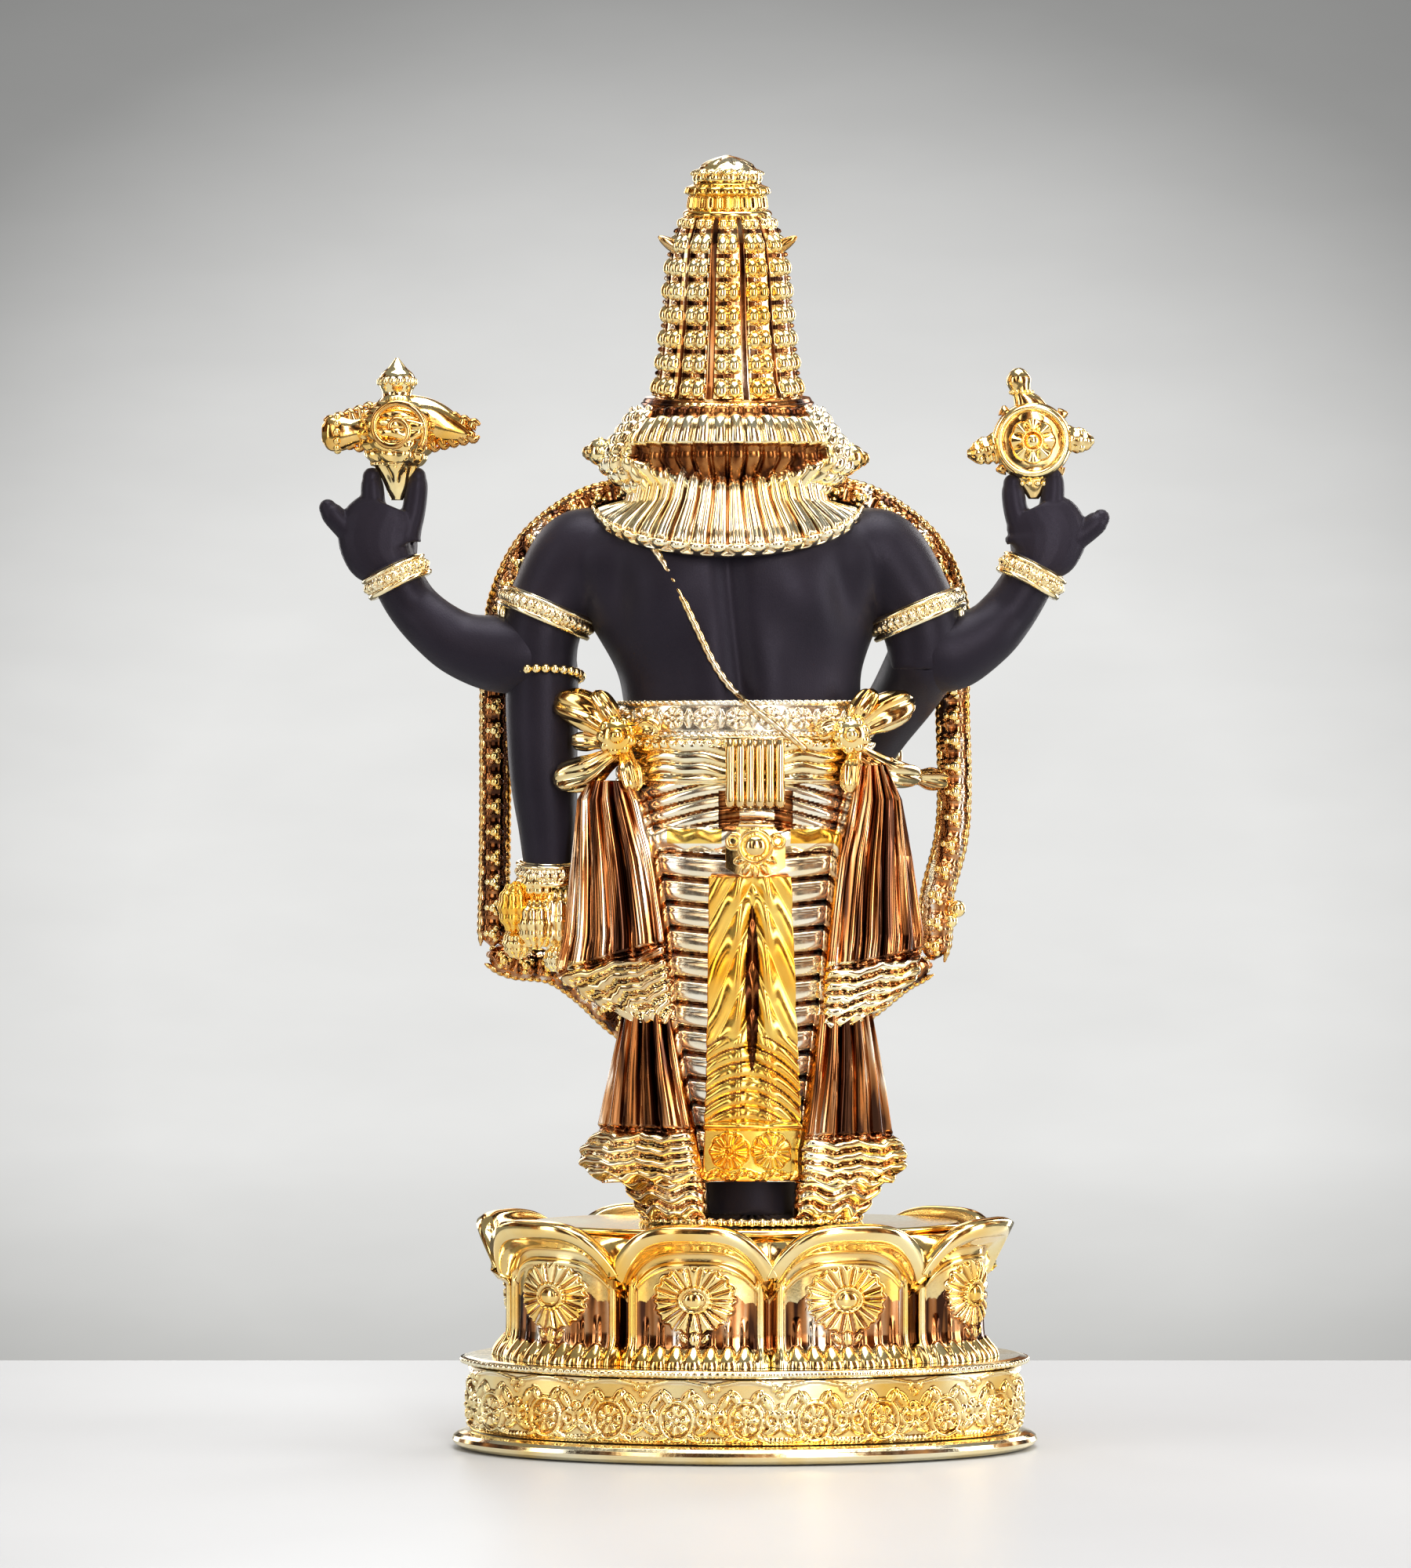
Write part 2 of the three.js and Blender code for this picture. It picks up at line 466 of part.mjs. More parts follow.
const skirtSkin = ovals(SKIRT_ROWS, { sides: 28, grow: WALL });
const backPlate = (outline) => slab(outline, 5, 30);
add('back_panel', 'amber', skirtSkin.intersect(backPlate(
  [[9, 63.6], [-13, 63.6], [-12, 92], [-10, 132], [8, 132], [8.4, 92]])));
add('clasp', 'gold', ovals(SKIRT_ROWS, { sides: 28, grow: WALL + 1.4 }).intersect(backPlate(
  [[4.5, 133.6], [4.5, 141], [1, 144.5], [-5.5, 144.5], [-9, 141], [-9, 133.6], [-2.2, 131.6]])));
add('belt_tassel', 'gold', ovals([[150, 29.6, 21.6], [154, 30.6, 22.6], [163.8, 31, 23]],
  { sides: 28 }).intersect(backPlate([[4.6, 150], [4.6, 163.8], [-9, 163.8], [-9, 150]])));

// The sacred thread crosses the back from the left shoulder to the right hip.
function backOfTorso(x, z) {
  const upper = TORSO_ROWS.findIndex((row) => row[0] > z);
  const [low, high] = [TORSO_ROWS[upper - 1], TORSO_ROWS[upper]];
  const t = (z - low[0]) / (high[0] - low[0]);
  const [a, b] = [1, 2].map((k) => THREE.MathUtils.lerp(low[k], high[k], t));
  return b * Math.sqrt(1 - ((x - lean(z)) / a) ** 2);
}
const THREAD_RADIUS = 0.8;
add('sacred_thread', 'gold', limb([[21.4, 208.2], [16, 200], [11, 190], [6, 180], [-1, 174.4]].map(
  ([x, z]) => [x, backOfTorso(x, z) + THREAD_RADIUS, z, THREAD_RADIUS]), { sides: 6, fine: 2 }));

// ---- collar and pendant on the chest

const chest = ovals(TORSO_ROWS.slice(0, 9), { sides: 26, grow: WALL });
const collarRing = turned([[12, 0], [25, 0], [25, 30], [12, 30], [12, 0]], [LEAN, -2, 217],
  new THREE.Vector3(0, -1, 0), 28);
add('collar', 'gold', chest.intersect(collarRing));
add('chest_pendant', 'gold', turned([[0, 0], [6.4, 0], [6.4, 6], [4, 7.6], [0, 8.2]],
  [lean(184), -15.6, 184], new THREE.Vector3(0, -1, 0), 14));

// ---- bows at the hips, with the sashes and folds that hang from them

const bow = (knot, ...loops) => join(
  limb([[knot[0], knot[1], knot[2] - 6, 3.4, 3], [knot[0], knot[1], knot[2], 6, 4.6],
    [knot[0], knot[1], knot[2] + 5.6, 3.4, 3]], { sides: 10, fine: 2 }),
  ...loops.map((rows) => limb(rows, { sides: 8, fine: 2 })));
add('left_bow', 'gold', bow([28, 12.6, 162.5],
  [[28, 12.6, 164, 3.4, 2.6], [35, 9.5, 168.6, 3.8, 2.8], [41.6, 6.5, 171, 1.6, 1.4]],
  [[28, 12.6, 160, 3.4, 2.6], [36, 10, 155.6, 3.8, 2.8], [42.6, 8, 154.4, 1.6, 1.4]]));
add('right_bow', 'gold', bow([-25, 14, 163],
  [[-25, 14, 164, 3.4, 2.6], [-31.6, 10.4, 168.6, 3.4, 2.6], [-37, 7.4, 172, 1.4, 1.3]],
  [[-25, 14, 161, 3, 2.6], [-33.6, 9, 156.4, 3.2, 2.6], [-40, -1, 154.8, 2.6, 2.4],
    [-44.4, -8.6, 154.6, 2.4, 2.2]]));

add('left_sash', 'gold', fold([
  [100.4, 16.4, 16.6, 26, 14, 4], [109.4, 16.6, 16.8, 40, 9, 4.6], [119, 17.6, 17.2, 39, 6.4, 5],
  [137, 20.4, 17, 38.4, 5.6, 4.8], [150, 24, 15.4, 37, 6, 4], [153.4, 26, 14.6, 34, 8.4, 3]]));
add('right_sash', 'gold', fold([
  [100.4, -17, 16.6, -27, 14, 4], [109.4, -17.4, 16.8, -39, 7.6, 4.6], [119, -18.4, 17.2, -38.4, 5, 5],
  [137, -20.4, 17, -36, 5.4, 4.8], [150, -23.4, 16, -34, 7.6, 4], [157, -25.4, 15, -30, 11.6, 2.6]]));
add('left_lower_sash', 'gold', fold([
  [62.6, 10, 16.6, 34, 7, 4.4], [70, 11, 17, 37, 5.4, 5], [74, 11.4, 17, 33, 6.4, 4.6],
  [86, 13.8, 17.2, 30, 8.4, 4.2], [99.6, 16.4, 16.8, 27, 11.4, 3.4]]));
add('right_lower_sash', 'gold', fold([
  [62.6, -13.2, 16.6, -33, 7, 4.4], [69, -12.4, 17, -36, 5.4, 5], [74, -13.4, 17, -32.6, 6.4, 4.6],
  [86, -14.6, 17.2, -30.6, 8.4, 4.2], [99.6, -16.4, 16.8, -28, 11.4, 3.4]]));
add('left_hem_fold', 'gold', fold([
  [SOLE, 8.8, 14, 23, 5, 4], [57, 8.8, 14.4, 24.6, 5, 4.4], [62.2, 9.2, 15, 28, 5, 4.8]]));
add('right_hem_fold', 'gold', fold([
  [SOLE, -11.4, 14, -25.4, 5, 4], [57, -11.4, 14.4, -28, 5, 4.4], [62.2, -11.8, 15, -32, 6, 4.8]]));

// ---- the garland: two strands from the shoulders, joined low across the front

const GARLAND = { left: 3.2, right: 4 };
const strand = (points, radius) => limb(points.map((point) => [...point, radius]),
  { sides: 8 });
add('garland_left', 'gold', strand([
  [26, -9, 220], [38, -8, 214.6], [48.6, -9.4, 207.6], [54.4, -11, 196], [57, -13, 184],
  [58.2, -13, 172], [58.4, -13, 152], [59, -13, 132], [59.4, -13, 116.4]], GARLAND.left));
add('garland_right', 'gold', strand([
  [-18.6, -9, 220], [-30, -8, 215.4], [-41, -9.4, 207.6], [-46.4, -11, 196], [-48.6, -13, 184],
  [-48.8, -13, 172], [-48.6, -12, 154], [-46.4, -11, 140], [-43.6, -11, 127], [-43.4, -12, 113.6]],
GARLAND.right));
add('garland_front', 'gold', strand([
  [59.4, -13.6, 113.2], [54, -16.6, 111.4], [45, -20.4, 110], [37.6, -23.4, 105], [28, -26, 96.4],
  [14, -29, 89.6], [0, -30, 87.6], [-14, -28.4, 91.4], [-28, -24, 101], [-37, -18.4, 108.2],
  [-43, -13.6, 110.6]], 3.6));

// ---------------------------------------------------------------- the assembly

const statue = new THREE.Group();
for (const { name, finish, body } of pieces) {
  const mesh = new THREE.Mesh(toGeometry(body), new THREE.MeshStandardMaterial(FINISHES[finish]));
  mesh.name = name;
  statue.add(mesh);
}

export default statue;
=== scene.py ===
"""The looks of a standing shrine statue: matte black figure, gold-plated dress and pedestal.

Shapes are written in millimetres in the CAD frame (+Z up, the figure faces -Y, its left is
+X) and scaled to metres when a mesh is made.
"""

import math

import bpy
import numpy as np
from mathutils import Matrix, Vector


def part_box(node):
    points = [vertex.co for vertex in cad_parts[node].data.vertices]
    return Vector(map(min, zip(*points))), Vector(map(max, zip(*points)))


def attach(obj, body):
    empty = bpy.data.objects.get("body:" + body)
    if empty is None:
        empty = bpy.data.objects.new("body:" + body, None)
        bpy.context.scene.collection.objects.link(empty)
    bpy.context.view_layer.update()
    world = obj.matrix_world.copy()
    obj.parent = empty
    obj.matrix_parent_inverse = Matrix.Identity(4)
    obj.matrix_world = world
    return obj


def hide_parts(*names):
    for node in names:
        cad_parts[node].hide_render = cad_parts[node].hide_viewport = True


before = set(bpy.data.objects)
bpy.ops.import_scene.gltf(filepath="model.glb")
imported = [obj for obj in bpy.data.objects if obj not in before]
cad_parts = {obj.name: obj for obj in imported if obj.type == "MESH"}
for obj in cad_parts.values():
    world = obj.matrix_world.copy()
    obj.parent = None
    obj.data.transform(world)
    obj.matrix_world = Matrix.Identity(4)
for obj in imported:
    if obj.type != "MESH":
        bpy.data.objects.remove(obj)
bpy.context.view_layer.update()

MM = 0.001
TAU = 2 * math.pi
FINE = 1.0


# ------------------------------------------------------------------ frame measurements

def span(node):
    """Lowest and highest corner of a CAD node, in millimetres."""
    low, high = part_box(node)
    return np.array(low) / MM, np.array(high) / MM


def centre(node):
    low, high = span(node)
    return (low + high) / 2


WAIST_Z = span("waist_belt")[0][2]
LEAN = centre("crown")[0]                # the head sways towards the figure's left
LEAN_FROM, LEAN_TO = WAIST_Z - 4.4, WAIST_Z + 47.6


# ------------------------------------------------------------------ small maths

def smoothstep(x, low, high):
    t = np.clip((x - low) / (high - low), 0, 1)
    return t * t * (3 - 2 * t)


def lean(z):
    return LEAN * smoothstep(z, LEAN_FROM, LEAN_TO)


def wrap(s, pitch):
    """Signed distance to the nearest multiple of the pitch."""
    return (s + pitch / 2) % pitch - pitch / 2


def root(x):
    return np.sqrt(np.clip(x, 0, 1))


def bell(d, width):
    return np.exp(-(d / width) ** 2)


def between(x, a, b, c, d):
    """Rises from 0 to 1 between a and b, and falls back to 0 between c and d."""
    return smoothstep(x, a, b) * (1 - smoothstep(x, c, d))


def dome(d, radius, height):
    """Half-round bump of the given radius over a distance field."""
    return height * root(1 - (d / radius) ** 2)


def beads(s, t, pitch, t0, radius, height):
    return dome(np.hypot(wrap(s, pitch), t - t0), radius, height)


def ridge(t, t0, half, height):
    return dome(t - t0, half, height)


def rope(s, t, t0, half, pitch, height):
    """Twisted-cord moulding along s."""
    twist = 0.7 + 0.3 * np.cos(TAU * (s / pitch + (t - t0) / (2 * half)))
    return ridge(t, t0, half, height) * twist


def leaf(s, t, s0, t0, angle, length, width, height):
    """Pointed leaf with a centre vein, its middle at (s0, t0)."""
    c, k = math.cos(angle), math.sin(angle)
    along = ((s - s0) * c + (t - t0) * k) / (length / 2)
    across = (-(s - s0) * k + (t - t0) * c) / (width / 2)
    body = np.clip(1 - along ** 2 - np.abs(across) ** 1.5, 0, 1) ** 0.5
    return height * body * (1 - 0.35 * bell(across, 0.16))


def rosette(s, t, radius, petals, height, boss=0.3):
    """Spoked flower medallion centred on (0, 0)."""
    d, turn = np.hypot(s, t), np.arctan2(t, s)
    spoke = np.abs(np.cos(petals * turn / 2)) ** 1.2
    edge = radius * (0.93 + 0.07 * np.abs(np.cos(petals * turn / 2)))
    inside = smoothstep(d, boss * radius, boss * radius * 1.25) * (1 - smoothstep(d, edge * 0.93, edge))
    flower = height * (0.25 + 0.75 * spoke) * inside
    hub = dome(d, boss * radius * 0.8, height * 1.2)
    ring = ridge(d, boss * radius * 1.05, radius * 0.06, height * 0.8)
    return np.maximum(np.maximum(flower, hub), ring)


def smooth_rows(rows, count):
    """Catmull-Rom through rows of numbers, `count` samples."""
    rows = np.array(rows, float)
    ext = np.vstack([2 * rows[0] - rows[1], rows, 2 * rows[-1] - rows[-2]])
    t = np.linspace(0, len(rows) - 1, count)
    i = np.clip(t.astype(int), 0, len(rows) - 2)
    f = (t - i)[:, None]
    a, b, c, d = ext[i], ext[i + 1], ext[i + 2], ext[i + 3]
    return 0.5 * (2 * b + (c - a) * f + (2 * a - 5 * b + 4 * c - d) * f ** 2
                  + (3 * b - a - 3 * c + d) * f ** 3)


def by_height(rows, z):
    """Linear look-up in rows whose first column is a height."""
    rows = np.array(sorted(rows), float)
    return [np.interp(z, rows[:, 0], rows[:, k]) for k in range(1, rows.shape[1])]


def unit(v):
    return v / np.maximum(np.linalg.norm(v, axis=-1, keepdims=True), 1e-9)


def steps(length, pitch):
    return max(8, int(length / pitch * FINE))


# ------------------------------------------------------------------ mesh building

class Patches:
    """Grids of quads gathered into one mesh, in millimetres."""

    def __init__(self):
        self.points, self.quads, self.tones, self.size = [], [], [], 0

    def grid(self, p, wrap_u=False, wrap_v=False, tone=0):
        nu, nv = p.shape[:2]
        i = np.arange(nu if wrap_u else nu - 1)[:, None]
        j = np.arange(nv if wrap_v else nv - 1)[None, :]
        nxt_i, nxt_j = (i + 1) % nu, (j + 1) % nv
        corners = [i * nv + j, nxt_i * nv + j, nxt_i * nv + nxt_j, i * nv + nxt_j]
        quads = np.stack(np.broadcast_arrays(*corners), -1).reshape(-1, 4)
        self.points.append(p.reshape(-1, 3))
        self.quads.append(quads + self.size)
        self.tones.append(np.broadcast_to(tone, corners[2].shape).reshape(-1))
        self.size += len(self.points[-1])
        return self

    def tube(self, path, radii, sides=16, up=(0, 1, 0), shape=None, tone=0):
        """A capped tube; `radii` is (n,) or (n, 2); shape(along mm, turn) scales the radius."""
        path = np.asarray(path, float)
        radii = np.asarray(radii, float)
        if radii.ndim == 1:
            radii = np.repeat(radii[:, None], 2, 1)
        tangent = unit(np.gradient(path, axis=0))
        deep = unit(np.asarray(up, float) - tangent * (tangent @ np.asarray(up, float))[:, None])
        across = np.cross(deep, tangent)
        turn = np.linspace(0, TAU, sides, endpoint=False)
        length = np.concatenate([[0], np.cumsum(np.linalg.norm(np.diff(path, axis=0), axis=1))])
        k = np.ones((len(path), sides)) if shape is None else shape(length[:, None], turn[None, :])
        ring = (across[:, None] * (np.cos(turn)[None, :] * radii[:, :1] * k)[..., None]
                + deep[:, None] * (np.sin(turn)[None, :] * radii[:, 1:] * k)[..., None])
        ends = [np.repeat(path[e][None, None], sides, 1) for e in (0, -1)]
        p = np.concatenate([ends[0], path[:, None] + ring, ends[1]], 0)
        return self.grid(p, wrap_v=True, tone=tone)

    def limb(self, rows, sides=24, pitch=0.8, up=(0, 1, 0), shape=None, tone=0):
        """Smooth tube with rounded ends through rows of [x, y, z, radius, depth radius]."""
        rows = [list(r) + [r[3]] * (5 - len(r)) for r in rows]
        hops = zip(rows, rows[1:])
        reach = sum(np.linalg.norm(np.subtract(b[:3], a[:3])) for a, b in hops)
        fine = smooth_rows(rows, max(8, int(reach / pitch)))
        return self.tube(fine[:, :3], np.maximum(fine[:, 3:5], 0.05), sides, up, shape, tone)

    def ball(self, at, radius, squash=(1, 1, 1), sides=14, tone=0):
        lat = np.linspace(0, math.pi, sides // 2 + 1)[:, None]
        lon = np.linspace(0, TAU, sides, endpoint=False)[None, :]
        p = np.stack([np.sin(lat) * np.cos(lon), np.sin(lat) * np.sin(lon),
                      np.cos(lat) + 0 * lon], -1) * radius * np.array(squash)
        return self.grid(p + np.array(at), wrap_v=True, tone=tone)

    def shell(self, p, relief, thick, wrap_u=False, outward=None, tone=0):
        """Closed sheet: outer face p + normal * relief, inner face `thick` behind p."""
        n = normals(p, wrap_u)
        if outward is not None and np.sum(n * outward(p)) < 0:
            n = -n
        outer = p + n * relief[..., None]
        inner = p - n * thick
        if not np.isscalar(tone):        # one tone per outer face; the rest takes tone 0
            rest = np.zeros((tone.shape[0], 2 * p.shape[1] - tone.shape[1]), int)
            tone = np.concatenate([tone, rest], 1)
        self.grid(np.concatenate([outer, inner[:, ::-1]], 1), wrap_u, True, tone)
        if not wrap_u:
            for e in (0, -1):
                self.grid(np.stack([outer[e], inner[e]]))
        return self

    def weld(self):
        """Merged points, faces as (loop indices, face sizes), and each face's tone."""
        points = np.concatenate(self.points)
        quads, tones = np.concatenate(self.quads), np.concatenate(self.tones)
        keys = np.round(points * 2000).astype(np.int64)
        _, first, inverse = np.unique(keys, axis=0, return_index=True, return_inverse=True)
        quads = inverse.reshape(-1)[quads]
        keep = quads != np.roll(quads, 1, axis=1)
        sizes = keep.sum(1)
        whole = (sizes > 2) & (quads[:, 0] != quads[:, 2]) & (quads[:, 1] != quads[:, 3])
        return points[first], quads[whole][keep[whole]], sizes[whole], tones[whole]


def normals(p, wrap_u=False, wrap_v=False):
    """Unit normals of a grid of points."""
    def slope(axis, wraps):
        if wraps:
            return np.roll(p, -1, axis) - np.roll(p, 1, axis)
        return np.gradient(p, axis=axis)
    return unit(np.cross(slope(0, wrap_u), slope(1, wrap_v)))


def mesh_object(name, points, loops, sizes, tones=None):
    mesh = bpy.data.meshes.new(name)
    mesh.vertices.add(len(points))
    mesh.vertices.foreach_set("co", (points * MM).astype(np.float32).ravel())
    mesh.loops.add(len(loops))
    mesh.loops.foreach_set("vertex_index", loops.astype(np.int32))
    mesh.polygons.add(len(sizes))
    starts = np.concatenate([[0], np.cumsum(sizes)[:-1]]).astype(np.int32)
    mesh.polygons.foreach_set("loop_start", starts)
    if tones is not None:
        mesh.polygons.foreach_set("material_index", tones.astype(np.int32))
    mesh.polygons.foreach_set("use_smooth", np.ones(len(sizes), bool))
    mesh.update(calc_edges=True)
    mesh.validate()
    obj = bpy.data.objects.new(name, mesh)
    bpy.context.scene.collection.objects.link(obj)
    return obj


def piece(node, patches, slot, *materials):
    """The finished look of one CAD node."""
    built = isinstance(patches, bpy.types.Object)
    obj = patches if built else mesh_object(node + "_look", *patches.weld())
    for material in materials:
        obj.data.materials.append(material)
    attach(obj, "root")
    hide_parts(node)
    return obj


def gilded(node, patches, *materials):
    return piece(node, patches, "gold_plating", *materials)


def read_points(mesh):
    co = np.empty(len(mesh.vertices) * 3, np.float32)
    mesh.vertices.foreach_get("co", co)
    return co.reshape(-1, 3).astype(float) / MM


def melt(name, patches, voxel, rounds):
    """Joins overlapping closed shapes into one smooth skin (voxel remesh, then smoothing)."""
    raw = mesh_object(name + "_raw", *patches.weld())
    remesh = raw.modifiers.new("remesh", "REMESH")
    remesh.mode, remesh.voxel_size = "VOXEL", voxel * MM
    smooth = raw.modifiers.new("smooth", "SMOOTH")
    smooth.factor, smooth.iterations = 0.5, rounds
    graph = bpy.context.evaluated_depsgraph_get()
    mesh = bpy.data.meshes.new_from_object(raw.evaluated_get(graph))
    mesh.polygons.foreach_set("use_smooth", np.ones(len(mesh.polygons), bool))
    bpy.data.objects.remove(raw)
    obj = bpy.data.objects.new(name + "_look", mesh)
    bpy.context.scene.collection.objects.link(obj)
    return obj


# ------------------------------------------------------------------ oval and turned forms

def oval_arc(a, b, count, start=0.0):
    """Angles equally spaced along an oval's edge from `start`, with their arc lengths."""
    t = np.linspace(start, start + TAU, 4097)
    d = np.hypot(a * np.sin(t), b * np.cos(t))
    arc = np.concatenate([[0], np.cumsum((d[1:] + d[:-1]) / 2 * np.diff(t))])
    s = np.linspace(0, arc[-1], count, endpoint=False)
    return np.interp(s, arc, t), s, arc[-1]


FLAT_RUN, FLAT_EDGE = 30.0, 2.0          # a level run longer than this has points near its ends only


def dense(profile, pitch):
    """Profile points resampled along its runs, with their distances along it."""
    profile = np.array(profile, float)
    hops = np.diff(profile, axis=0)
    length = np.concatenate([[0], np.cumsum(np.linalg.norm(hops, axis=1))])
    count = max(len(profile), int(length[-1] / pitch * FINE))
    at = np.union1d(np.linspace(0, length[-1], count), length)
    for k in np.flatnonzero((np.abs(hops[:, 0]) > FLAT_RUN) & (hops[:, 1] == 0)):
        at = at[np.minimum(at - length[k], length[k + 1] - at) < FLAT_EDGE]
    return np.stack([np.interp(at, length, profile[:, k]) for k in (0, 1)], -1), at


def oval_turn(a, b, profile, relief=None, at=(0, 0), pitch=0.35, lengthwise=0.35):
    """Oval sweep of a profile of (offset from the edge, z); relief(s, z, along, around) in mm."""
    fine, along = dense(profile, pitch)
    t, s, around = oval_arc(a, b, steps(2.6 * (a + b), lengthwise))
    k = 1 + fine[:, 0] / a
    p = np.stack([a * np.cos(t)[:, None] * k, b * np.sin(t)[:, None] * k,
                  fine[:, 1][None, :] + 0 * t[:, None]], -1)
    if relief is not None:
        n = normals(p, True)
        middle = p * np.array([1, 1, 0])
        n = n * np.sign(np.sum(n * middle, axis=(0, 2)).sum())
        p = p + n * relief(s[:, None], fine[:, 1][None, :], along[None, :], around)[..., None]
    return p + np.array([*at, 0])


def close_ends(p):
    """Adds a centre point row at both ends of a turned grid."""
    first, last = [np.repeat(p[:, e].mean(0)[None], len(p), 0)[:, None] for e in (0, -1)]
    return np.concatenate([first, p, last], 1)


def place(p, at, axis):
    """Turns a form made about +Z so that it stands along `axis` at a point."""
    spin = Vector((0, 0, 1)).rotation_difference(Vector(axis).normalized()).to_matrix()
    return p @ np.array(spin).T + np.array(at)


def ovals(rows, sides=96, count=80):
    """Smooth stack of ovals. Rows: [z, half width, half depth, x, y]."""
    rows = [list(r) + [r[1]] * (len(r) < 3) + [0] * (5 - max(len(r), 3)) for r in rows]
    fine = smooth_rows(rows, count)
    turn = np.linspace(0, TAU, sides, endpoint=False)[None, :]
    z, a, b, x, y = [fine[:, k][:, None] for k in range(5)]
    depth = y + np.maximum(b, 0.02) * np.sin(turn)
    p = np.stack([lean(z) + x + np.maximum(a, 0.02) * np.cos(turn), depth, z + 0 * turn], -1)
    caps = [np.repeat(p[e].mean(0)[None, None], sides, 1) for e in (0, -1)]
    return np.concatenate([caps[0], p, caps[1]], 0)


# ------------------------------------------------------------------ materials

def new_material(name):
    material = bpy.data.materials.new(name)
    material.use_nodes = True
    nodes = material.node_tree.nodes
    return material, nodes, material.node_tree.links, nodes["Principled BSDF"]


def noise(nodes, links, scale, detail=4, stretch=(1, 1, 1), space="Object"):
    """Noise over a coordinate space; `stretch` scales each axis first."""
    where = nodes.new("ShaderNodeTexCoord")
    mapping = nodes.new("ShaderNodeMapping")
    mapping.inputs["Scale"].default_value = stretch
    links.new(where.outputs[space], mapping.inputs["Vector"])
    tex = nodes.new("ShaderNodeTexNoise")
    tex.inputs["Scale"].default_value = scale
    tex.inputs["Detail"].default_value = detail
    links.new(mapping.outputs["Vector"], tex.inputs["Vector"])
    return tex.outputs["Fac"]


def ramp(nodes, links, value, stops):
    """Colour ramp through (position, (r, g, b)) stops."""
    node = nodes.new("ShaderNodeValToRGB")
    elements = node.color_ramp.elements
    while len(elements) < len(stops):
        elements.new(0.5)
    for element, (at, colour) in zip(elements, stops):
        element.position = at
        element.color = (*colour, 1)
    links.new(value, node.inputs["Fac"])
    return node.outputs["Color"]


def multiply(nodes, links, a, b, amount=1.0):
    node = nodes.new("ShaderNodeMix")
    node.data_type, node.blend_type = "RGBA", "MULTIPLY"
    node.inputs[0].default_value = amount
    links.new(a, node.inputs[6])
    links.new(b, node.inputs[7])
    return node.outputs[2]


def spread(nodes, links, value, low, high):
    node = nodes.new("ShaderNodeMapRange")
    node.inputs["From Min"].default_value = 0.3
    node.inputs["From Max"].default_value = 0.7
    node.inputs["To Min"].default_value = low
    node.inputs["To Max"].default_value = high
    links.new(value, node.inputs["Value"])
    return node.outputs["Result"]


def bump(nodes, links, shader, value, strength, distance):
    node = nodes.new("ShaderNodeBump")
    node.inputs["Strength"].default_value = strength
    node.inputs["Distance"].default_value = distance
    links.new(value, node.inputs["Height"])
    links.new(node.outputs["Normal"], shader.inputs["Normal"])


def plating(name, pale, deep, recess_shade_colour, rough=(0.07, 0.16), metal=1.0):
    """Polished metal plating: tone drifts, painted shade darkening its recesses, faint orange-peel surface.
    """
    material, nodes, links, shader = new_material(name)
    geometry = nodes.new("ShaderNodeNewGeometry")
    drift = noise(nodes, links, 55, 3)
    fine = noise(nodes, links, 900, 3)
    tone = ramp(nodes, links, drift, [(0.35, deep), (0.62, pale)])
    # painted shade: where the surface is concave the base colour darkens towards the shade colour
    recess_shade = ramp(nodes, links, geometry.outputs["Pointiness"], [(0.44, recess_shade_colour), (0.505, (1, 1, 1))])
    links.new(multiply(nodes, links, tone, recess_shade, 0.8), shader.inputs["Base Color"])
    shader.inputs["Metallic"].default_value = metal
    links.new(spread(nodes, links, fine, *rough), shader.inputs["Roughness"])
    bump(nodes, links, shader, fine, 0.05, 0.0002)
    return material


def paint(name, base, tint, rough):
    """Matte coat with a fine powder grain and a little sheen at grazing angles."""
    material, nodes, links, shader = new_material(name)
    cloud = noise(nodes, links, 40, 4)
    fine = noise(nodes, links, 2600, 2)
    links.new(ramp(nodes, links, cloud, [(0.35, base), (0.65, tint)]), shader.inputs["Base Color"])
    links.new(spread(nodes, links, fine, *rough), shader.inputs["Roughness"])
    shader.inputs["Specular IOR Level"].default_value = 0.16
    shader.inputs["Specular Tint"].default_value = (0.86, 0.78, 1.0, 1)
    shader.inputs["Sheen Weight"].default_value = 0.05
    shader.inputs["Sheen Roughness"].default_value = 0.5
    bump(nodes, links, shader, fine, 0.25, 0.00012)
    return material


def brushed(name):
    material, nodes, links, shader = new_material(name)
    lines = noise(nodes, links, 600, 3, (1, 1, 0.05))
    links.new(ramp(nodes, links, lines, [(0.3, (0.4, 0.4, 0.42)), (0.7, (0.62, 0.62, 0.64))]),
              shader.inputs["Base Color"])
    shader.inputs["Metallic"].default_value = 1.0
    links.new(spread(nodes, links, lines, 0.22, 0.4), shader.inputs["Roughness"])
    bump(nodes, links, shader, lines, 0.2, 0.0001)
    return material


def fibres(name, dark, light, scale, stretch, rough=0.9):
    """Felt or board: fibrous noise, dry and uneven."""
    material, nodes, links, shader = new_material(name)
    hair = noise(nodes, links, scale, 8, stretch)
    links.new(ramp(nodes, links, hair, [(0.3, dark), (0.7, light)]), shader.inputs["Base Color"])
    shader.inputs["Roughness"].default_value = rough
    bump(nodes, links, shader, hair, 0.6, 0.0004)
    return material


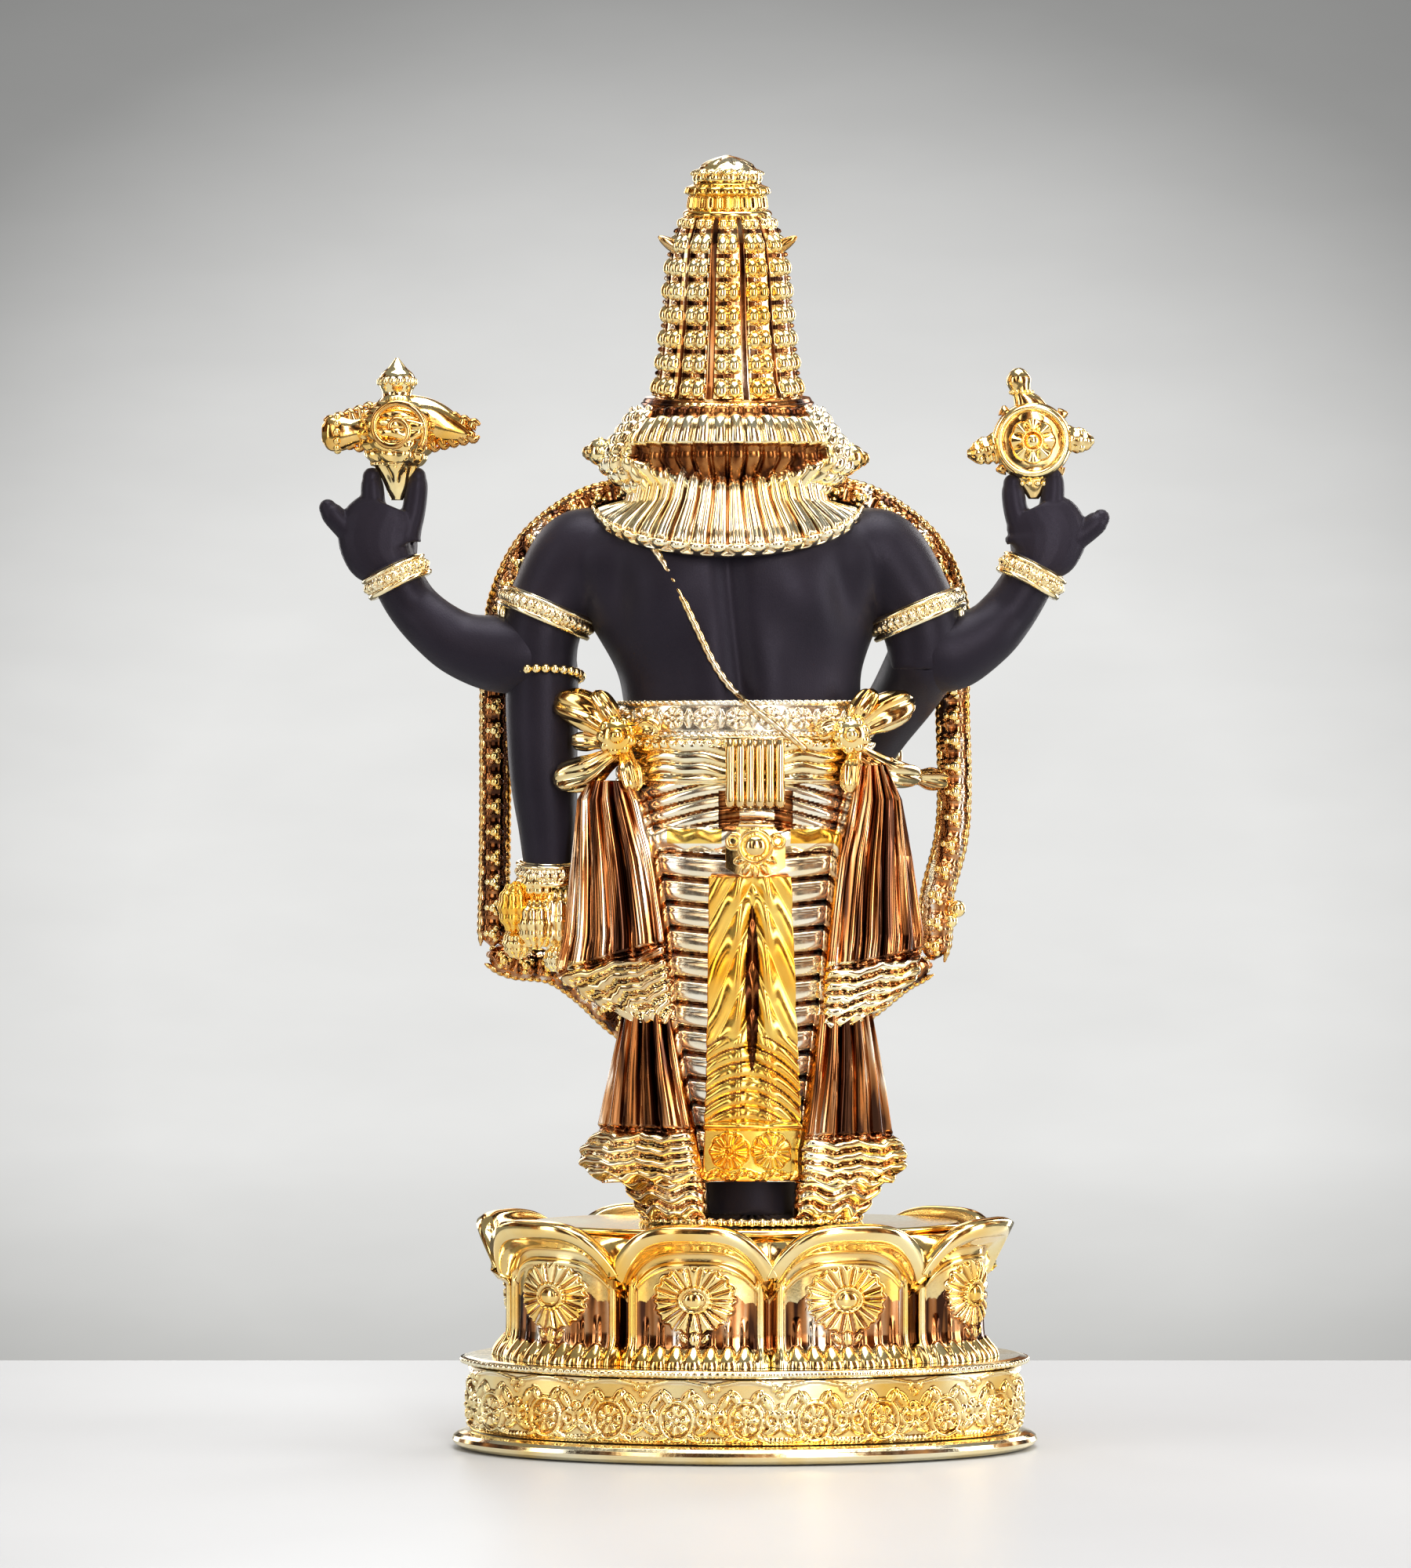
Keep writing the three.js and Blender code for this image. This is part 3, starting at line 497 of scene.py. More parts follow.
def streaked(name, tones, rough=(0.06, 0.14)):
    """Plating with painted shade and painted reflection: dark tones in vertical streaks, as fine flutes break
    up a reflection.
    """
    material, nodes, links, shader = new_material(name)
    streaks = noise(nodes, links, 300, 2, (1, 1, 0.06))
    fine = noise(nodes, links, 900, 3)
    stops = [(at, tone) for at, tone in zip((0.40, 0.50, 0.59, 0.72), tones)]
    links.new(ramp(nodes, links, streaks, stops), shader.inputs["Base Color"])
    shader.inputs["Metallic"].default_value = 1.0
    links.new(spread(nodes, links, fine, *rough), shader.inputs["Roughness"])
    bump(nodes, links, shader, streaks, 0.12, 0.0003)
    return material


GOLD = plating("gold", (1.0, 0.84, 0.44), (0.98, 0.60, 0.13), (0.42, 0.19, 0.05))
PALE = plating("pale_gold", (1.0, 0.92, 0.66), (1.0, 0.76, 0.32), (0.5, 0.28, 0.10), (0.08, 0.18))
# painted shade and painted reflection: dark gold with pale streaks of painted highlight, for gaps, recesses,
# the garlands and the fluted sashes
SHADE_REFLECTION_GOLD = streaked("gold_painted_shade_and_reflection",
                  ((0.055, 0.022, 0.012), (0.42, 0.16, 0.05), (0.56, 0.31, 0.15), (0.98, 0.92, 0.80)))
# painted shade: near-black gold for grooves, gaps between folds and the band under the crown
RECESS_SHADE_GOLD = streaked("gold_painted_recess_shade",
                 ((0.05, 0.015, 0.006), (0.22, 0.07, 0.018), (0.36, 0.14, 0.04), (0.45, 0.2, 0.06)),
                 (0.15, 0.3))
AMBER = plating("amber_gold", (1.0, 0.72, 0.17), (1.0, 0.48, 0.03), (0.50, 0.17, 0.015), (0.13, 0.26), 0.97)
SILKY = plating("washed_gold", (1.0, 0.96, 0.82), (1.0, 0.86, 0.57), (0.40, 0.24, 0.10), (0.10, 0.22), 0.94)
BLACK = paint("black_paint", (0.0100, 0.0080, 0.0118), (0.0155, 0.0122, 0.0180), (0.40, 0.50))
STEEL = brushed("brushed_steel")
FELT = fibres("felt", (0.03, 0.012, 0.012), (0.10, 0.035, 0.03), 1500, (1, 1, 1))
BOARD = fibres("board", (0.28, 0.17, 0.09), (0.52, 0.36, 0.21), 260, (0.2, 1, 1), 0.7)


# ------------------------------------------------------------------ pedestal

def oval_of(node):
    low, high = span(node)
    return high[0], high[1], low[2], high[2]


def disc(node, slot, material, edge=0.3):
    """Flat oval plate with eased edges."""
    a, b, low, high = oval_of(node)
    profile = [(-a, low), (-edge, low), (0, low + edge), (0, high - edge), (-edge, high), (-a, high)]
    p = oval_turn(a, b, profile, pitch=0.8, lengthwise=0.8)
    return piece(node, Patches().grid(p, wrap_u=True), slot, material)


disc("felt_pad", "felt", FELT)
disc("plinth_core", "board", BOARD, 0.4)

a, b, low, high = oval_of("base_plate")
bottom_band = [(-a, low), (-3.0, low), (-2.8, 0.5), (-1.6, 0.25), (-0.3, 0.5), (0.9, 1.2), (1.4, 2.1),
            (1.0, 3.0), (0.0, 3.7), (-1.4, high - 0.1), (-2.6, high), (-a, high)]
p = oval_turn(a, b, bottom_band, pitch=0.25, lengthwise=0.7)
gilded("base_plate", Patches().grid(p, wrap_u=True), PALE)

SCROLL = 15.8                            # repeat of the floral band


def scroll(s, z, along, around):
    """Floral band: a smooth upper strip with bead drops over flowers and curling leaves."""
    low, high = span("plinth_band")[0][2], span("plinth_band")[1][2]
    pitch = around / round(around / SCROLL)
    x, t = wrap(s, pitch), (z - low) * 0.86
    outside = between(along, 0.2, 0.6, high - low - 0.2, high - low)
    side = np.abs(wrap(s + pitch / 2, pitch))
    h = rosette(x, t - 4.6, 2.9, 7, 1.2, 0.34)
    h = np.maximum(h, ridge(np.hypot(x, t - 4.6), 3.7, 0.42, 0.9))
    for s0, t0, angle, length, width in (
            (6.2, 3.1, 0.5, 4.6, 2.0), (4.8, 8.2, -0.9, 4.2, 1.9), (2.4, 9.0, 0.9, 3.6, 1.7),
            (6.5, 6.0, -0.3, 3.8, 1.7), (3.4, 1.3, -0.25, 3.4, 1.4)):
        for mirror in (1, -1):
            h = np.maximum(h, leaf(x * mirror, t, s0, t0, angle, length, width, 1.15))
    curl = np.hypot(side - 1.9, t - 4.9)
    h = np.maximum(h, ridge(curl, 1.25, 0.4, 1.0) * (t < 6.6))
    h = np.maximum(h, dome(np.hypot(side, t - 7.0), 0.85, 1.0))
    h = np.maximum(h, beads(s, t, pitch / 16, 0.75, 0.42, 0.5))
    for s0, t0 in ((0, 9.7), (-1.25, 10.9), (1.25, 10.9)):
        h = np.maximum(h, dome(np.hypot(wrap(s + pitch / 2, pitch) - s0, t - t0), 0.72, 0.8))
    h = np.maximum(h, ridge(t, 11.9 + 0.5 * np.cos(TAU * s / pitch), 0.32, 0.45))
    return h * outside - 0.25


a, b, low, high = oval_of("plinth_band")
WALL = 2.2
p = oval_turn(a, b, [(0, low), (0, high), (-WALL, high), (-WALL, low)], scroll, pitch=0.26,
              lengthwise=0.28)
leafy = (p[..., 2] < low + 13.4).astype(int)
gilded("plinth_band", Patches().grid(p, wrap_u=True, wrap_v=True, tone=leafy), PALE, GOLD)

a, b, low, high = oval_of("plinth_rim")


def rim_beads(s, z, along, around):
    pitch = around / round(around / 1.7)
    return beads(s, z, pitch, low + 0.8, 0.6, 0.35)


lipped = [(-a, low), (-0.9, low), (-0.2, low + 0.2), (0.3, low + 0.5), (0.3, high - 0.4), (-0.4, high),
          (-1.6, high + 0.25), (-a, high + 0.25)]
p = oval_turn(a, b, lipped, rim_beads, pitch=0.25, lengthwise=0.35)
gilded("plinth_rim", Patches().grid(p, wrap_u=True), PALE)

# ---- lotus: eight broad petals with curled lips

LOTUS_A, LOTUS_B = 62.7, 35.0
LOTUS_LOW, LOTUS_HIGH = span("lotus_pedestal")[0][2], span("lotus_pedestal")[1][2]
SEAT_HIGH = span("lotus_seat")[1][2]
PETALS = 8
SEAM = math.radians(95.9)                # a gap between petals, on the back


def petal_top(u):
    return LOTUS_HIGH - 11.0 * np.abs(u) ** 3.4


def lotus_surface(s, v, around):
    """Point offset and height at arc length s and profile position v (0 foot, 1 inner floor)."""
    size = around / PETALS
    u = wrap(s - size / 2, size) / (size / 2)
    top = petal_top(u)
    swell = 2.6 * (1 - np.abs(u) ** 2.6) - 1.2 * bell(np.abs(u) - 1, 0.05)
    foot_v, lip_v, in_v = 0.60, 0.80, 1.0
    zs = np.where(v < foot_v, LOTUS_LOW + (top - 5.6 - LOTUS_LOW) * v / foot_v, 0)
    rise = np.clip((v - foot_v) / (lip_v - foot_v), 0, 1)
    zs = np.where(v >= foot_v, top - 5.6 + 5.6 * np.sin(rise * math.pi / 2), zs)
    wall = -9.2 + swell + 2.6 * bell(zs - LOTUS_LOW, 3.2)
    edge = -1.2 - 3.6 * np.abs(u) ** 3       # the lips reach furthest at a petal's middle
    out = np.where(v < foot_v, wall, wall + (edge - wall) * (1 - np.cos(rise * math.pi / 2)) ** 0.85)
    back = np.clip((v - lip_v) / (in_v - lip_v), 0, 1)
    out = np.where(v > lip_v, edge - (13.8 + edge) * back ** 0.9, out)
    inner_z = top + 0.55 * np.sin(np.clip(back * 5, 0, 1) * math.pi)
    inner_z = inner_z + (SEAT_HIGH - 1.4 - inner_z) * smoothstep(back, 0.15, 0.75)
    zs = np.where(v > lip_v, inner_z, zs)
    return out, zs, u, size


def lotus_relief(u, z, v, size):
    """Arch border, spoked medallion, leaf drop, flutes and foot fringe on the petal's wall."""
    x = u * size / 2
    far, turn = np.hypot(x / 1.36, z - 36.6), np.arctan2(z - 36.6, x / 1.36)
    groove = bell(wrap(turn, TAU / 18) * far, 0.34)
    plate = 1 - smoothstep(far, 7.1 + 0.35 * np.cos(18 * turn), 7.9 + 0.35 * np.cos(18 * turn))
    medal = plate * (0.95 - 0.75 * groove * smoothstep(far, 2.6, 3.2)) + dome(far, 1.9, 0.8)
    medal = medal + ridge(far, 2.8, 0.4, 0.5)
    side = ridge(np.abs(u), 0.86, 0.055, 1.5) * (1 - smoothstep(z, 40, 44))
    drop = leaf(z - 27.6, x, 0, 0, 0, 4.0, 3.0, 1.0)
    for k in (-1, 1):
        drop = np.maximum(drop, leaf(x * k, z, 2.8, 27.8, 0.8, 3.4, 1.6, 0.9))
    flute = 0.28 * np.cos(TAU * x / 4.3) * (1 - smoothstep(z, 29, 33)) * smoothstep(z, 25.5, 27)
    tooth = np.abs(wrap(x, size / 9)) / (size / 18)
    fringe = 1.1 * root(1 - tooth ** 2 - ((z - LOTUS_LOW - 0.5) / 4.4) ** 2)
    h = np.maximum.reduce([medal, side, drop, fringe + 0 * x, flute]) * (v < 0.66)
    line = ridge(petal_top(u) - z, 7.4, 0.8, 0.6) * (np.abs(u) < 0.86) * (v < 0.8)
    return np.maximum(h, dome(lip_path(u, z, v) - 0.6, 4.0, 2.2) + line) - 0.2


def lip_path(u, z, v):
    """Distance along the petal's wall from its edge: positive outside, negative inside."""
    return np.where(v < 0.80, petal_top(u) - z, -12.6 * (v - 0.80) / 0.20)


t, s, around = oval_arc(LOTUS_A, LOTUS_B, steps(330, 0.32), SEAM)
v = np.linspace(0, 1, steps(48, 0.3))
out, z, u, size = lotus_surface(s[:, None], v[None, :], around)
p = np.stack([(LOTUS_A + out) * np.cos(t)[:, None], (LOTUS_B + out) * np.sin(t)[:, None],
              z + 0 * t[:, None]], -1)
n = normals(p, True)
n = n * np.sign(np.sum(n[:, :20] * p[:, :20] * np.array([1, 1, 0])))
p = p + n * lotus_relief(u, z, v[None, :], size)[..., None]
under = np.stack([p[:, -1] * np.array([1, 1, 0]) + np.array([0, 0, LOTUS_LOW]),
                  p[:, 0] * np.array([1, 1, 0]) + np.array([0, 0, LOTUS_LOW])], 1)
p = np.concatenate([p, under], 1)
# painted shade: the bare lower petal walls, the petal sides and a line under each lip take the dark gold
jagged = 36.4 + 1.3 * np.abs(wrap(u, 0.22)) / 0.11 - 3.0 * np.cos(math.pi * u) ** 2
lower_wall = (z[:, :-1] < jagged) & (z[:, :-1] > 25.4)
lower_wall |= (np.abs(u) > 0.80) & (z[:, :-1] > 25.4) & (z[:, :-1] < 40)
bare = lotus_relief(u, z, v[None, :], size)[:, :-1] < 0.35
shade = np.abs(lip_path(u, z, v[None, :]) - 5.0)[:, :-1] < 0.5
shaded = ((lower_wall & bare) | shade) & (v[None, :-1] < 0.6)
tone = np.concatenate([shaded.astype(int), np.zeros((len(p), 2), int)], 1)
gilded("lotus_pedestal", Patches().grid(p, wrap_u=True, tone=tone), GOLD, SHADE_REFLECTION_GOLD)


disc("lotus_seat", "gold_plating", GOLD, 0.5)

low, high = span("foot_plate")
mid = (low + high) / 2
half = (high - low) / 2


def foot_rim(s, z, along, around):
    return beads(s, z, around / round(around / 2.4), mid[2] + 0.2, 0.9, 0.7)


p = oval_turn(half[0], half[1], [(-half[0], low[2]), (-0.4, low[2]), (0, low[2] + 0.4),
                                 (0, high[2] - 0.4), (-0.5, high[2]), (-half[0], high[2])],
              foot_rim, (mid[0], -2.5), 0.3, 0.4)
gilded("foot_plate", Patches().grid(p, wrap_u=True), PALE)


# ------------------------------------------------------------------ body

TORSO_ROWS = [
    [152, 23, 15], [158, 24, 15.5], [163, 27, 17.5], [172, 27.5, 18], [180, 28.5, 18.3], [190, 33, 19],
    [200, 38, 19.5], [207, 41, 18.5], [213, 36, 16], [217, 27, 13.5], [221, 14, 10.5], [223, 9.5, 9.5],
    [230, 9.2, 9.2],
]
LEG_ROWS = [[54.3, 11.5, 9.5, -1.5], [70, 12, 10, -1], [100, 15, 11.5], [130, 18, 13.5], [150, 20, 14.5],
            [157.7, 22, 15]]
UPPER_ARMS = {
    1: [[30, 0, 205, 10.5], [38, 0, 206.5, 10.8], [44.6, 0, 197, 9.6], [47.4, 1, 188, 9.2],
        [47.4, 1, 179.5, 8.4]],
    -1: [[-23, 0, 205, 10.5], [-31, 0, 206.5, 10.8], [-38.2, 0, 197, 9.6], [-41.6, 1, 188, 9.2],
         [-41.8, 1, 180, 8.4]],
}
FOREARMS = {
    "left_raised": [[46.6, 0.6, 185, 8.4], [52, 1, 183.6, 9], [58.7, 1, 184, 8.8], [65.8, 1, 186, 7.6],
                    [71.5, 1, 189.7, 6.7], [76.4, 0, 194.4, 6.1], [79.6, 0, 199.3, 5.9],
                    [82, 0, 204.6, 5.7]],
    "right_raised": [[-40.6, 0.6, 185, 8.4], [-45, 1, 183.8, 8.9], [-49.5, 1, 184.6, 8.6],
                     [-56.2, 1, 188.4, 7.2], [-60.7, 0, 193, 6.5], [-64.4, 0, 198.4, 6.1],
                     [-67.8, 0, 204.6, 5.8]],
    "left_lowered": [[47, 0, 183, 8.0], [47, 0, 178, 8.4], [47, 0, 168, 8.3], [46.6, 0, 155, 7.8],
                     [45.6, -0.5, 143, 6.8], [45, -1.5, 131.5, 5.9]],
    "right_lowered": [[-42, 2, 184.5, 8.2], [-41.4, 0, 182, 8.5], [-37.6, -8, 175, 7.8],
                      [-32.6, -17, 167, 6.8], [-29, -24.6, 159.4, 5.6]],
}
HANDS = {
    "left_raised": [
        [[81.4, 0, 202.6, 5.6, 4.8], [82, 0, 203.9, 6, 4.6], [84.2, 0, 207, 8.6, 4.6],
         [84.6, 0, 211.4, 9.8, 4.4], [83, 0, 215.6, 8.8, 4], [82, 0, 218, 7, 3.4]],
        [[78.6, 0, 211, 3.6], [76.8, 0, 217, 3.1], [76, 0, 223, 2.8], [75.9, 0, 225.4, 1.7]],
        [[83.6, 0, 211, 3.6], [85.8, 0, 217, 3.2], [86.4, 0, 223, 2.9], [86.5, 0, 225.3, 1.8]],
        [[87, 0, 208, 4], [92, 0, 212.4, 3.2], [95.8, 0, 216.4, 2.9], [97, 0, 218, 1.7]],
        [[79, -2, 206, 3.2], [79, -7, 211, 2.8], [82, -8.6, 215, 2.4], [83.6, -8.8, 216.8, 1.4]],
        [[89, -2, 210, 3], [89, -7.4, 213, 2.7], [86.2, -8.6, 209.6, 2.4], [84.8, -8.2, 208, 1.4]]],
    "right_raised": [
        [[-67.4, 0, 202.8, 5.6, 4.8], [-68, 0, 204.1, 6, 4.6], [-69.4, 0, 207.5, 8.4, 4.6],
         [-69.8, 0, 212, 9.6, 4.4], [-67.6, 0, 216, 7.8, 3.8], [-66.8, 0, 217.6, 6.2, 3.2]],
        [[-65, 0, 211, 3.6], [-63, 0, 216.6, 3.2], [-62.2, 0, 221.6, 2.9], [-62.1, 0, 223.8, 1.8]],
        [[-69, 0, 211, 3.6], [-71, 0, 217.6, 3.2], [-71.6, 0, 223.6, 2.8], [-71.6, 0, 225.8, 1.7]],
        [[-73, 0, 208.6, 4], [-78, 0, 211.4, 3.2], [-81.8, 0, 214.4, 2.9], [-83, 0, 215.6, 1.7]],
        [[-65, -2, 206, 3.2], [-64.6, -7, 211, 2.8], [-67, -8.6, 215, 2.4], [-68.4, -8.8, 216.6, 1.4]],
        [[-74, -2, 210, 3], [-74, -7.4, 212.6, 2.7], [-71.4, -8.6, 209.6, 2.4],
         [-70, -8.2, 208, 1.4]]],
    "left_lowered": [
        [[45, -1.2, 135, 5.6, 4.8], [45, -1.6, 132.6, 5.6, 4.6], [44.6, -4.4, 128, 5.2, 5.6],
         [43, -8.6, 122.4, 4.4, 6.4], [41.4, -12.4, 118.6, 3.6, 6]]] + [
        [[42.4, -8.4 - 2.2 * i, 118.2 + 2.2 * i, 2.7], [40.4, -13 - 2.2 * i, 111.6 + 2.6 * i, 2.3],
         [38.4, -16 - 2 * i, 106.6 + 2.6 * i, 1.3]] for i in range(4)],
    "right_lowered": [
        [[-29.3, -24, 161, 5, 4.6], [-29, -24.8, 159.6, 5.2, 4.4], [-28.4, -27.4, 155.4, 6.8, 3.8],
         [-28, -29, 150, 8.4, 3.6], [-27.8, -29.8, 145.6, 7.8, 3.2]]] + [
        [[-27.8 + 3.9 * i, -29.6, 146.6, 2.3], [-27.8 + 4.3 * i, -30.8, 138.6 + abs(i), 2],
         [-27.8 + 4.4 * i, -31, 133 + 1.6 * abs(i), 1.2]] for i in (-1.5, -0.5, 0.5, 1.5)] + [
        [[-21.8, -27.6, 152, 2.9], [-18, -29.6, 147.4, 2.5], [-16.6, -30.4, 143, 1.3]]],
}


def vertex_normals(mesh):
    n = np.empty(len(mesh.vertices) * 3, np.float32)
    mesh.vertex_normals.foreach_get("vector", n)
    return n.reshape(-1, 3).astype(float)


def carve(obj, depth):
    """Moves each vertex along its normal by depth(points, normals) millimetres."""
    p, n = read_points(obj.data), vertex_normals(obj.data)
    p = p + n * depth(p, n)[:, None]
    obj.data.vertices.foreach_set("co", (p * MM).astype(np.float32).ravel())
    obj.data.update()
    return obj


def back_muscles(p, n):
    """Spine groove, shoulder blades and the soft waist on the back."""
    x, z = p[:, 0] - lean(p[:, 2]), p[:, 2]
    behind = smoothstep(n[:, 1], 0.05, 0.6)
    spine = -2.1 * bell(x, 3.0) * between(z, 160, 175, 205, 216)
    blades = sum(1.9 * np.exp(-(((x - side * 15.5) * 0.9 + (z - 198) * side * 0.35) / 8) ** 2
                              - ((z - 197) / 10.5) ** 2) for side in (-1, 1))
    edge = sum(-1.3 * np.exp(-((x - side * 26.0) / 4.0) ** 2 - ((z - 199) / 10) ** 2)
               for side in (-1, 1))
    loins = sum(0.9 * np.exp(-((x - side * 8) / 5) ** 2 - ((z - 178) / 9) ** 2) for side in (-1, 1))
    front = smoothstep(-n[:, 1], 0.05, 0.6)
    chest = sum(2.0 * np.exp(-((x - side * 13) / 10) ** 2 - ((z - 199) / 8) ** 2) for side in (-1, 1))
    navel = -1.6 * np.exp(-(x / 1.3) ** 2 - ((z - 176) / 1.5) ** 2)
    return behind * (spine + blades + edge + loins) + front * (chest + navel)


def flesh(voxel):
    return voxel / FINE


def painted(node, shape):
    return piece(node, shape, "black_paint", BLACK)


skin = Patches().grid(ovals(TORSO_ROWS, 96, 110), wrap_v=True)
for arm in UPPER_ARMS.values():
    skin.limb(arm, 40)
torso = melt("torso", skin, flesh(0.8), 5)
painted("torso", carve(torso, back_muscles))

skin = Patches().grid(ovals(LEG_ROWS, 80, 90), wrap_v=True)
for side in (1, -1):
    skin.limb([[side * x - 1.5, y, z, *r] for x, y, z, *r in (
        [5, 3, 61, 6, 6], [7, -8, 60, 6, 5.6], [8.5, -16, 57.9, 6, 3.5], [9.5, -21, 56.9, 6, 2.5])], 28)
    for toe in range(5):
        at = 4.4 + toe * 2.3
        skin.limb([[side * at - 1.5, -19, 57, 1.3], [side * (at + 0.5) - 1.5, -22.4 + 0.5 * toe, 56.4, 1.4],
                   [side * (at + 0.6) - 1.5, -24 + 0.5 * toe, 56, 0.9]], 12)
painted("legs", melt("legs", skin, flesh(0.8), 3))

for side, rows in FOREARMS.items():
    painted(side + "_forearm", Patches().limb(rows, 64, 0.6))
for side, parts in HANDS.items():
    skin = Patches()
    for finger, rows in enumerate(parts):
        slim = 0.9 if finger else 1.0
        skin.limb([[*r[:3], *(slim * k for k in r[3:])] for r in rows], 20, 0.5)
    for rows in parts[1:]:
        tip, before = np.array(rows[-1][:3]), np.array(rows[-2][:3])
        skin.ball(tip - unit(tip - before) * 0.5, rows[-1][3] * 1.25, sides=12)
    painted(side + "_hand", melt(side + "_hand", skin, flesh(0.36), 2))

# ---- head: a calm, plain face on even thirds
HEAD_ROWS = [[219, 5.5, 6, 0, -6], [224.5, 8.2, 9.2, 0, -5], [229, 10.8, 12.2, 0, -3.4],
             [234, 12.2, 13.8, 0, -2], [240, 12.8, 14.4, 0, -1], [246, 11.5, 13, 0, -0.5],
             [250, 7, 8.5], [251.5, 3, 4]]
EYES_Z, NOSE_Z, MOUTH_Z = 234.6, 230.6, 227.2


def face(p, n):
    """Eye sockets, cheeks and chin pressed into the front of the head."""
    x, z = p[:, 0] - LEAN, p[:, 2]
    front = smoothstep(-n[:, 1], 0.2, 0.7)
    sockets = sum(-1.5 * np.exp(-((x - side * 4.6) / 2.9) ** 2 - ((z - EYES_Z - 0.3) / 1.9) ** 2)
                  for side in (-1, 1))
    cheeks = sum(0.7 * np.exp(-((x - side * 6) / 3.2) ** 2 - ((z - 230.4) / 2.8) ** 2)
                 for side in (-1, 1))
    chin = 0.9 * np.exp(-(x / 2.6) ** 2 - ((z - 223.4) / 1.7) ** 2)
    return front * (sockets + cheeks + chin)


skin = Patches().grid(ovals(HEAD_ROWS, 96, 90), wrap_v=True)
head = carve(melt("head", skin, flesh(0.5), 4), face)
painted("head", head)
points = read_points(head.data)


def skin_y(x, z):
    """Front of the head at a place on the face."""
    near = (np.abs(points[:, 0] - LEAN - x) < 0.8) & (np.abs(points[:, 2] - z) < 0.8)
    return points[near, 1].min() if near.any() else -14.0


features = Patches()
nose = ((236.4, 0.5, 236.6, 0.8, 0.9), (234, -0.1, 234, 1.0, 1.4), (231.4, -1.1, 231.4, 1.4, 1.6),
        (230.4, -0.8, 230.2, 1.5, 1.2))
features.limb([[LEAN, skin_y(0, at) + dy, *rest] for at, dy, *rest in nose], 20, 0.4)
for side in (-1, 1):
    features.ball((LEAN + side * 1.4, skin_y(side * 1.4, 230.5) - 0.3, 230.5), 0.95, (1, 1, 0.8))
    x0 = LEAN + side * 4.6
    features.ball((x0, skin_y(side * 4.6, EYES_Z) + 1.0, EYES_Z), 2.2, (1.05, 0.8, 0.62), 20)
    lash = [[x0 + 2.3 * u, skin_y(side * 4.6 + 2.3 * u, EYES_Z) - 0.5 + 0.5 * u * u,
             EYES_Z - 0.55 - 0.45 * (1 - u * u), 0.22] for u in np.linspace(-1, 1, 7)]
    features.limb(lash, 8, 0.3)
    brow = [[x0 + 3.0 * u, skin_y(side * 4.6 + 3 * u, 237.2) - 0.05, 236.9 + 0.7 * (1 - u * u), 0.34]
            for u in np.linspace(-1, 1, 7)]
    features.limb(brow, 8, 0.3)
for dz, r, reach in ((0.55, 0.55, 2.6), (-0.5, 0.68, 2.2)):
    lip = [[LEAN + reach * u, skin_y(reach * u, MOUTH_Z) - 0.25 + 0.35 * u * u,
            MOUTH_Z + dz * (1 - 0.75 * abs(u)) + 0.15 * abs(u), r * (1.05 - 0.7 * abs(u))]
           for u in np.linspace(-1, 1, 9)]
    features.limb(lip, 12, 0.25)
face_obj = melt("face", features, 0.2 / FINE, 2)
face_obj.data.materials.append(BLACK)
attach(face_obj, "root")

# ------------------------------------------------------------------ head-dress

CROWN_ROWS = [[239.5, 19.0], [241.3, 17.4], [247, 15.6], [260, 14.0], [272, 13.2], [279, 12.2], [284, 10.2],
              [286.5, 9.2], [291, 8.6], [293.6, 7.6]]
CROWN_TILT = 0.13


def tilted(p, tilt=CROWN_TILT):
    p = p.copy()
    p[..., 2] -= tilt * p[..., 1]
    return p


def round_form(rows, relief, z_count, around, squash=1.0, x=LEAN):
    """Turned form with relief(angle, z, radius); rows are [z, radius]."""
    z = np.linspace(rows[0][0], rows[-1][0], int(z_count * FINE))
    radius = np.interp(z, [r[0] for r in rows], [r[1] for r in rows])
    radius = np.convolve(np.pad(radius, 3, "edge"), np.ones(7) / 7, "valid")
    turn = np.linspace(0, TAU, int(around * FINE), endpoint=False)[:, None]
    r = radius[None, :] + relief(turn, z[None, :], radius[None, :])
    return close_ends(np.stack([x + r * np.cos(turn), squash * r * np.sin(turn), z[None, :] + 0 * r], -1))


def crown_relief(turn, z, radius):
    """Twelve columns of paired lumps in tiers, with smooth channels between."""
    column = wrap(turn, TAU / 12) * radius
    half = radius * TAU / 12 / 2
    u = column / half
    tier = 5.5
    phase = ((z - 243.6) / tier) % 1.0
    inside = between(z, 243.4, 244.0, 284.4, 285.4)
    taper = np.clip(radius / 14.0, 0.75, 1.0)
    h = 0.55 * (np.abs(u) < 0.78)
    for at in (-0.36, 0.36):
        lump = 1 - ((u - at) / 0.40) ** 2 - ((phase - 0.46) / 0.40) ** 2
        h = np.maximum(h, 2.1 * taper * root(lump))
    stud = dome(np.hypot(column, (phase - 0.97) * tier), 0.8, 1.5)
    stud = np.maximum(stud, dome(np.hypot(column, (phase + 0.03) * tier), 0.8, 1.5))
    h = np.maximum(h, stud) * inside
    band = ridge(z, 242.4, 0.8, 0.9) + beads(turn * radius, z, TAU * 17.6 / 64, 242.4, 0.7, 0.5)
    neck = ridge(z, 286.0, 0.8, 0.9)
    neck = neck + 0.4 * np.cos(24 * turn) * between(z, 286.8, 287.4, 289.6, 290.2)
    petals = 1.5 * between(z, 289.8, 290.8, 291.8, 292.8) * (0.6 + 0.4 * np.abs(np.cos(8 * turn)))
    return h + band + neck + petals


